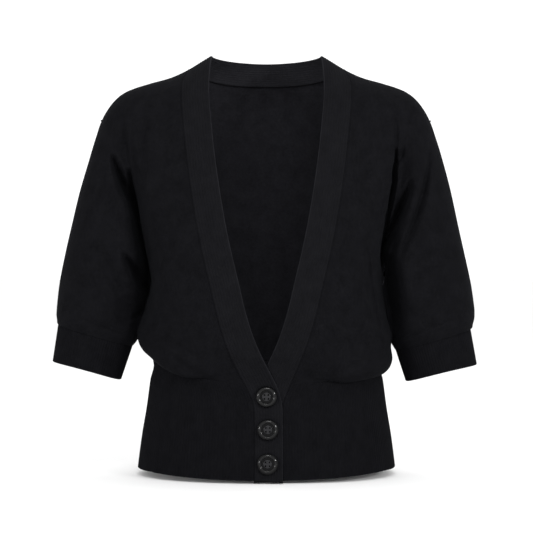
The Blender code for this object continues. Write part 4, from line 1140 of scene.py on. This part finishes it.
def knitted_wool(name, colour, wale, course, stitch_depth, tone):
    """Matt black fine-gauge knit of a viscose and wool yarn.

    The eye gets it from three things: a rough base with hardly any mirror and only a trace of
    sheen, rows of V-shaped stitches with loose fibres over them, and an uneven dye. Stitch height
    over the surface is |sin(pi u)| times a wave along v that leans up on one side of each wale
    and down on the other, plus a fine noise. The reverse is coloured several times lighter than
    the face: painted light that stands in for the light reaching the inside of the hollow garment.
    """
    made, tree = new_material(name, colour)
    math = "ShaderNodeMath"
    place = add_node(tree, "ShaderNodeUVMap", uv_map="knitting")
    split = add_node(tree, "ShaderNodeSeparateXYZ", {"Vector": place})
    wales = add_node(tree, math, {0: split.outputs["X"], 1: wale}, operation="DIVIDE")
    courses = add_node(tree, math, {0: split.outputs["Y"], 1: course}, operation="DIVIDE")
    lean = add_node(tree, math, {0: wales, 1: np.pi}, operation="MULTIPLY")
    lean = add_node(tree, math, {0: lean}, operation="SINE")
    lean = add_node(tree, math, {0: lean}, operation="ABSOLUTE")
    slant = add_node(tree, math, {0: wales, 1: 0.5}, operation="PINGPONG")
    slant = add_node(tree, math, {0: slant, 1: 1.3}, operation="MULTIPLY")
    row = add_node(tree, math, {0: courses, 1: slant}, operation="ADD")
    wave = add_node(tree, math, {0: row, 1: 2 * np.pi}, operation="MULTIPLY")
    wave = add_node(tree, math, {0: wave}, operation="SINE")
    wave = add_node(tree, math, {0: wave, 1: 0.25, 2: 0.75}, operation="MULTIPLY_ADD")
    height = add_node(tree, math, {0: lean, 1: wave}, operation="MULTIPLY")
    body = add_node(tree, "ShaderNodeTexCoord")
    fluff = add_node(tree, "ShaderNodeTexNoise", {
        "Vector": body.outputs["Object"], "Scale": 900.0, "Detail": 3.0, "Roughness": 0.6})
    height = add_node(tree, math, {0: fluff.outputs["Fac"], 1: 0.5, 2: height},
                      operation="MULTIPLY_ADD")
    bump = add_node(tree, "ShaderNodeBump", {
        "Height": height, "Strength": 0.8, "Distance": stitch_depth})
    # Two sizes of unevenness in the dye and the yarn: patches of 15 mm and slubs of 3 mm.
    patches = add_node(tree, "ShaderNodeTexNoise", {
        "Vector": body.outputs["Object"], "Scale": 65.0, "Detail": 3.0, "Roughness": 0.6})
    slubs = add_node(tree, "ShaderNodeTexNoise", {
        "Vector": body.outputs["Object"], "Scale": 330.0, "Detail": 2.0, "Roughness": 0.7})
    share = add_node(tree, math, {0: patches.outputs["Fac"], 1: tone, 2: 1.0 - tone},
                     operation="MULTIPLY_ADD")
    share = add_node(tree, math, {0: slubs.outputs["Fac"], 1: tone, 2: share},
                     operation="MULTIPLY_ADD")
    # Painted light: the inside of the cloth, marked by `reverse`, is coloured several times lighter,
    # standing in for the light that reaches the inside of the hollow garment.
    side = add_node(tree, "ShaderNodeAttribute", attribute_name="reverse")
    turned = add_node(tree, math, {0: side.outputs["Fac"], 1: PAINTED_INSIDE_LIGHT - 1.0, 2: 1.0},
                      operation="MULTIPLY_ADD")
    share = add_node(tree, math, {0: share, 1: turned}, operation="MULTIPLY")
    dyed = add_node(tree, "ShaderNodeVectorMath", {0: colour, 1: share}, operation="MULTIPLY")
    shader = add_node(tree, "ShaderNodeBsdfPrincipled", {
        "Base Color": dyed, "Normal": bump, "Roughness": 0.92, "IOR": 1.5,
        "Specular IOR Level": 0.01, "Sheen Weight": 0.01, "Sheen Roughness": 0.35,
        "Sheen Tint": (0.75, 0.8, 0.9, 1.0)})
    add_node(tree, "ShaderNodeOutputMaterial", {"Surface": shader})
    return made


def plain_finish(name, colour, roughness, ior, mirror):
    """A material of one colour; `mirror` scales its reflection, which at 0.5 is as the IOR says."""
    made, tree = new_material(name, colour)
    shader = add_node(tree, "ShaderNodeBsdfPrincipled", {
        "Base Color": (*colour, 1.0), "Roughness": roughness, "IOR": ior,
        "Specular IOR Level": mirror})
    add_node(tree, "ShaderNodeOutputMaterial", {"Surface": shader})
    return made


def finish_named(name):
    """The material of a name, made once from the colours of the panel."""
    if name in bpy.data.materials:
        return bpy.data.materials[name]
    looks = bpy.context.scene.cardigan_looks
    if name == "black_jersey_knit":
        # Wales 1.6 mm and courses 1.2 mm wide, as a 12 gauge jersey has.
        return knitted_wool(name, tuple(looks.knit), 0.0016, 0.0012, 0.00022, 0.75)
    if name == "black_rib_knit":
        # The stitches lie along the 3.3 mm ribs; each rib is two wales wide.
        return knitted_wool(name, tuple(looks.rib), 0.00165, 0.0012, 0.00016, 0.7)
    if name == "black_band_rib_knit":
        # The front band is knitted of a slightly smoother yarn, which looks lighter.
        return knitted_wool(name, tuple(looks.band), 0.00165, 0.0012, 0.00016, 0.55)
    if name == "black_polished_resin":
        # Cast polyester resin, turned and polished: a dark body under a clear gloss. The mirror
        # is weak, because the all-white room would veil the flat face with grey.
        return plain_finish(name, tuple(looks.button), 0.07, 1.54, 0.09)
    if name == "black_polished_rim":
        # The same resin on the rim's crest, buffed most: it shows the softboxes as glints.
        return plain_finish(name, tuple(looks.button), 0.07, 1.54, 0.22)
    if name == "black_resin_painted_highlight":
        # The same resin round the four holes, matt and rough, and coloured lighter: a painted
        # highlight that stands in for the softboxes' reflection on the raised web.
        return plain_finish(name, tuple(looks.web), 0.5, 1.54, 0.1)
    if name == "black_sewing_thread":
        # Spun polyester sewing thread: fine twisted yarn, satin rather than matt.
        return plain_finish(name, tuple(looks.thread), 0.55, 1.5, 0.3)
    if name == "opal_acrylic_sheet":
        # White opal acrylic: pale and satin, so that shadows on it stay soft.
        return plain_finish(name, tuple(looks.floor), 0.9, 1.45, 0.05)
    raise ValueError("no finish is named " + name)


# ---------------------------------------------------------------- seam lines

def band_seam_path(stretch, sunk):
    """Line of the front band's seam, sunk below its outer face.

    The stretch is the right or left half, or the back neck from shoulder to shoulder.
    """
    grid = band_grid()
    normals = grid_normals(grid, False, np.array(BAND_CENTRE))
    half = grid.shape[0] // 2
    part = {"right": slice(0, half + 1), "left": slice(half, None),
            "neck": slice(half - NECK_STEPS, half + NECK_STEPS + 1)}[stretch]
    return grid[part, 0] - normals[part, 0] * sunk


def over_arm_path(patches, side, shared):
    """Line of the over-arm seam from the front band to the cuff, sunk into the cloth."""
    upper, _, sleeve = (patch[0] for patch in patches[side, "front"])
    path = np.round(np.concatenate([upper[0], upper[1:, -1], sleeve[1:-3, -1]]), 4) + 0.0
    return path - normals_at(path, shared) * OVER_ARM_SUNK


def stitched_seam(name, path, radius, finish, slot):
    """Cord of linked stitches along a seam."""
    points, quads = corded(path, radius, SEAM_TWIST)
    return shown(name, closed_mesh(name, points, quads), finish)


def button_threads(centre, turn):
    """Two pairs of threads over a button's web, and the shank that holds it off the band.

    Each strand runs level over the web and dips at both ends into its holes.
    """
    out, up, side = (np.array(turn @ Vector(v)) for v in ((0, 0, 1), (0, 1, 0), (1, 0, 0)))
    centre = np.array(centre)
    half = BUTTON_THICKNESS / 2
    level = half - BUTTON_DISH + STRAND_HEIGHT
    hole = HOLE_RING * np.sqrt(0.5)
    share = np.linspace(-1.0, 1.0, 17)
    dip = STRAND_DIVE * np.maximum(np.abs(share) - STRAND_TURN, 0.0) / (1 - STRAND_TURN)
    strands = [centre + side * (hole * share)[:, None] + up * (hole * row + strand)
               + out * (level - dip)[:, None]
               for row in (-1.0, 1.0) for strand in (-STRAND_GAP, STRAND_GAP)]
    cords = [corded(path, THREAD_RADIUS, STRAND_TWIST, sides=6) for path in strands]
    shank = np.linspace(-half - BUTTON_SHANK - 0.4, -half + 0.2, 6)
    cords.append(corded(centre + out * shank[:, None], SHANK_RADIUS, SHANK_TWIST, sides=10))
    first = np.cumsum([0] + [len(points) for points, _ in cords])
    return (np.concatenate([points for points, _ in cords]),
            np.concatenate([quads + start for (_, quads), start in zip(cords, first)]))


# ---------------------------------------------------------------- what a user may change

class CardiganSizes(bpy.types.PropertyGroup):
    """Sizes that a maker would change."""

    cloth_wall: FloatProperty(name="Cloth", description="Thickness of the plain knit",
                              default=0.0016, min=0.0008, max=0.003, unit="LENGTH")
    rib_wall: FloatProperty(name="Rib wall", description="Thickness of the rib knit in a groove",
                            default=0.0019, min=0.0012, max=0.003, unit="LENGTH")
    rib_relief: FloatProperty(name="Rib height", description="How far a rib stands out",
                              default=0.0005, min=0.0, max=0.001, unit="LENGTH")
    rib_pitch: FloatProperty(name="Rib pitch", description="Width of one rib and one groove",
                             default=0.0033, min=0.002, max=0.006, unit="LENGTH")
    crease_depth: FloatProperty(name="Creases", description="Depth of all creases, 1 as pictured",
                                default=1.0, min=0.0, max=1.5, subtype="FACTOR")
    floor_height: FloatProperty(name="Floor", description="Height of the studio floor",
                                default=-0.4860, unit="LENGTH")


class CardiganLooks(bpy.types.PropertyGroup):
    """Colours of the knit, the ribs, the band, the buttons, the thread and the floor."""

    knit: FloatVectorProperty(name="Knit", description="Colour of the plain knit",
                              default=linear_rgb("0E0E10"), subtype="COLOR", min=0.0, max=1.0)
    rib: FloatVectorProperty(name="Rib", description="Colour of the waistband and the cuffs",
                             default=linear_rgb("0D0D0F"), subtype="COLOR", min=0.0, max=1.0)
    band: FloatVectorProperty(name="Band", description="Colour of the front band",
                              default=linear_rgb("111113"), subtype="COLOR", min=0.0, max=1.0)
    button: FloatVectorProperty(name="Buttons", description="Colour of the cast resin",
                                default=linear_rgb("050506"), subtype="COLOR", min=0.0, max=1.0)
    # The web's colour is lighter than the resin's: a painted highlight that stands in for the
    # softboxes' reflection on the raised web.
    web: FloatVectorProperty(name="Button web", description="Colour of the matt resin between holes",
                             default=linear_rgb("202022"), subtype="COLOR", min=0.0, max=1.0)
    thread: FloatVectorProperty(name="Thread", description="Colour of the sewing thread",
                                default=linear_rgb("1A1A1B"), subtype="COLOR", min=0.0, max=1.0)
    floor: FloatVectorProperty(name="Floor", description="Colour of the acrylic sheet",
                               default=linear_rgb("ECECEC"), subtype="COLOR", min=0.0, max=1.0)


# ---------------------------------------------------------------- operators

class CARDIGAN_OT_knit(bpy.types.Operator):
    """Make the two fronts and the back of jersey knit, with their creases"""

    bl_idname = "cardigan.knit"
    bl_label = "Fronts and back"

    def execute(self, context):
        sizes = context.scene.cardigan_sizes
        patches = {(side, face): piece_patches(side, face)
                   for side in SIDES for face in ("front", "back")}
        shared = shared_normals(patches)
        finish = finish_named("black_jersey_knit")
        wall = sizes.cloth_wall / MM
        for name, faces in (("front_right", (("right", "front"),)),
                            ("front_left", (("left", "front"),)),
                            ("back", (("right", "back"), ("left", "back")))):
            mesh = knit_layer("knit_" + name, patches, shared, faces, sizes.crease_depth, wall)
            shown("knit_" + name, mesh, finish, (name,))
        for side in SIDES:
            path = over_arm_path(patches, side, shared)
            seam = stitched_seam("over_arm_seam_" + side, path, FINE_SEAM, finish, "knit")
        return {"FINISHED"}


class CARDIGAN_OT_ribs(bpy.types.Operator):
    """Make the ribbed waistband, the cuffs and the front band"""

    bl_idname = "cardigan.ribs"
    bl_label = "Waistband, cuffs and front band"

    def execute(self, context):
        sizes = context.scene.cardigan_sizes
        finish = finish_named("black_rib_knit")
        band_finish = finish_named("black_band_rib_knit")
        for side, flat in (("right", (0.17, 0.125)), ("left", (0.17, 0.125)),
                           ("back", (0.4, 0.125))):
            seams = []
            if side in SIDES:
                seams = [("side_seam_" + side, side_seam_path(side), INSIDE_SEAM, finish)]
            self.rib("waistband_" + side, waistband(side, sizes), finish, flat, seams)
        for side in SIDES:
            self.rib("cuff_" + side, cuff(side, sizes), finish, (0.25, 0.045), [])
        seams = [("band_seam_" + side, band_seam_path(side, BAND_SEAM_SUNK), FINE_SEAM, finish)
                 for side in SIDES]
        seams.append(("neck_seam_inside", band_seam_path("neck", NECK_SEAM_SUNK), INSIDE_SEAM,
                      band_finish))
        self.rib("front_band", front_band(sizes), band_finish, (0.033, 1.36), seams)
        return {"FINISHED"}

    def rib(self, name, surface, finish, flat, seams):
        """One ribbed piece with its seams. The flat size in metres, `flat`, is not used."""
        points, quads, marks, reverse = surface
        mesh = closed_mesh("rib_" + name, points, quads, marks, reverse=reverse)
        piece = shown("rib_" + name, mesh, finish, (name,))
        [stitched_seam(*seam, "rib") for seam in seams]


class CARDIGAN_OT_buttons(bpy.types.Operator):
    """Turn the three buttons and sew them on"""

    bl_idname = "cardigan.buttons"
    bl_label = "Buttons and thread"

    def execute(self, context):
        resin = finish_named("black_polished_resin")
        # The web's finish is a painted highlight: the resin coloured lighter.
        web = finish_named("black_resin_painted_highlight")
        crest = finish_named("black_polished_rim")
        thread = finish_named("black_sewing_thread")
        stand = RIB_CREST + BUTTON_SHANK + BUTTON_THICKNESS / 2
        for name, x, z in BUTTONS:
            point, axis = placket_frame(x, z)
            centre = point + axis * stand
            turn = axis.to_track_quat("Z", "Y")
            made = shown("turned_" + name, turned_button(centre, turn), resin, (name,))
            button_finishes(made.data, centre, axis, web, crest)
            points, quads = button_threads(centre, turn)
            shown("thread_" + name, closed_mesh("thread_" + name, points, quads), thread)
        return {"FINISHED"}


class CARDIGAN_OT_stage(bpy.types.Operator):
    """Make the floor, the light and the camera"""

    bl_idname = "cardigan.stage"
    bl_label = "Studio"

    def execute(self, context):
        scene = context.scene
        high = scene.cardigan_sizes.floor_height
        # Round floor: rings of points whose radius grows as a cube, so its edge lies far off.
        radius = FLOOR_RADIUS * np.linspace(0.02, 1.0, FLOOR_RINGS) ** 3
        profile = np.column_stack([radius, np.full(FLOOR_RINGS, high / MM)])
        points, quads = turned_profile(profile, FLOOR_SIDES)
        mesh = closed_mesh("studio_floor", points, quads[:, ::-1])
        mesh.materials.append(finish_named("opal_acrylic_sheet"))
        linked("studio_floor", mesh)
        world = bpy.data.worlds.new("white_studio")
        scene.world = world
        world.use_nodes = True
        background = world.node_tree.nodes["Background"]
        background.inputs["Color"].default_value = (1.0, 1.0, 1.0, 1.0)
        background.inputs["Strength"].default_value = WORLD_LIGHT
        for name, place, width, height, power in SOFTBOXES:
            light = bpy.data.lights.new(name, "AREA")
            light.shape = "ELLIPSE"
            light.size = width
            light.size_y = height
            light.energy = power
            lamp = linked(name, light)
            lamp.location = place
            aim = Vector(SOFTBOX_AIM) - Vector(place)
            lamp.rotation_euler = aim.to_track_quat("-Z", "Y").to_euler()
        eye = bpy.data.cameras.new("photo_camera")
        eye.lens = CAMERA_LENS
        eye.sensor_width = FILM_WIDTH
        camera = linked("photo_camera", eye)
        camera.location = CAMERA_PLACE
        camera.rotation_euler = (np.pi / 2, 0.0, 0.0)
        scene.camera = camera
        scene.view_settings.view_transform = "Standard"
        return {"FINISHED"}


class CARDIGAN_PT_parts(bpy.types.Panel):
    """The cardigan's pieces, sizes and colours"""

    bl_idname = "CARDIGAN_PT_parts"
    bl_label = "Batwing cardigan"
    bl_space_type = "VIEW_3D"
    bl_region_type = "UI"
    bl_category = "Cardigan"

    def draw(self, context):
        layout = self.layout
        for group in (context.scene.cardigan_sizes, context.scene.cardigan_looks):
            box = layout.column(align=True)
            for name in group.__annotations__:
                box.prop(group, name)
        for operator in OPERATORS:
            layout.operator(operator.bl_idname)


GROUPS = (CardiganSizes, CardiganLooks)
OPERATORS = (CARDIGAN_OT_knit, CARDIGAN_OT_ribs, CARDIGAN_OT_buttons, CARDIGAN_OT_stage)
CLASSES = GROUPS + OPERATORS + (CARDIGAN_PT_parts,)


def register():
    """Make the sizes, the operators and the panel known."""
    for cls in CLASSES:
        bpy.utils.register_class(cls)
    bpy.types.Scene.cardigan_sizes = PointerProperty(type=CardiganSizes)
    bpy.types.Scene.cardigan_looks = PointerProperty(type=CardiganLooks)


def unregister():
    """Take them back."""
    del bpy.types.Scene.cardigan_looks
    del bpy.types.Scene.cardigan_sizes
    for cls in reversed(CLASSES):
        bpy.utils.unregister_class(cls)


def main():
    """Make every piece in order."""
    register()
    bpy.ops.cardigan.knit()
    bpy.ops.cardigan.ribs()
    bpy.ops.cardigan.buttons()
    bpy.ops.cardigan.stage()


if __name__ == "__main__":
    main()
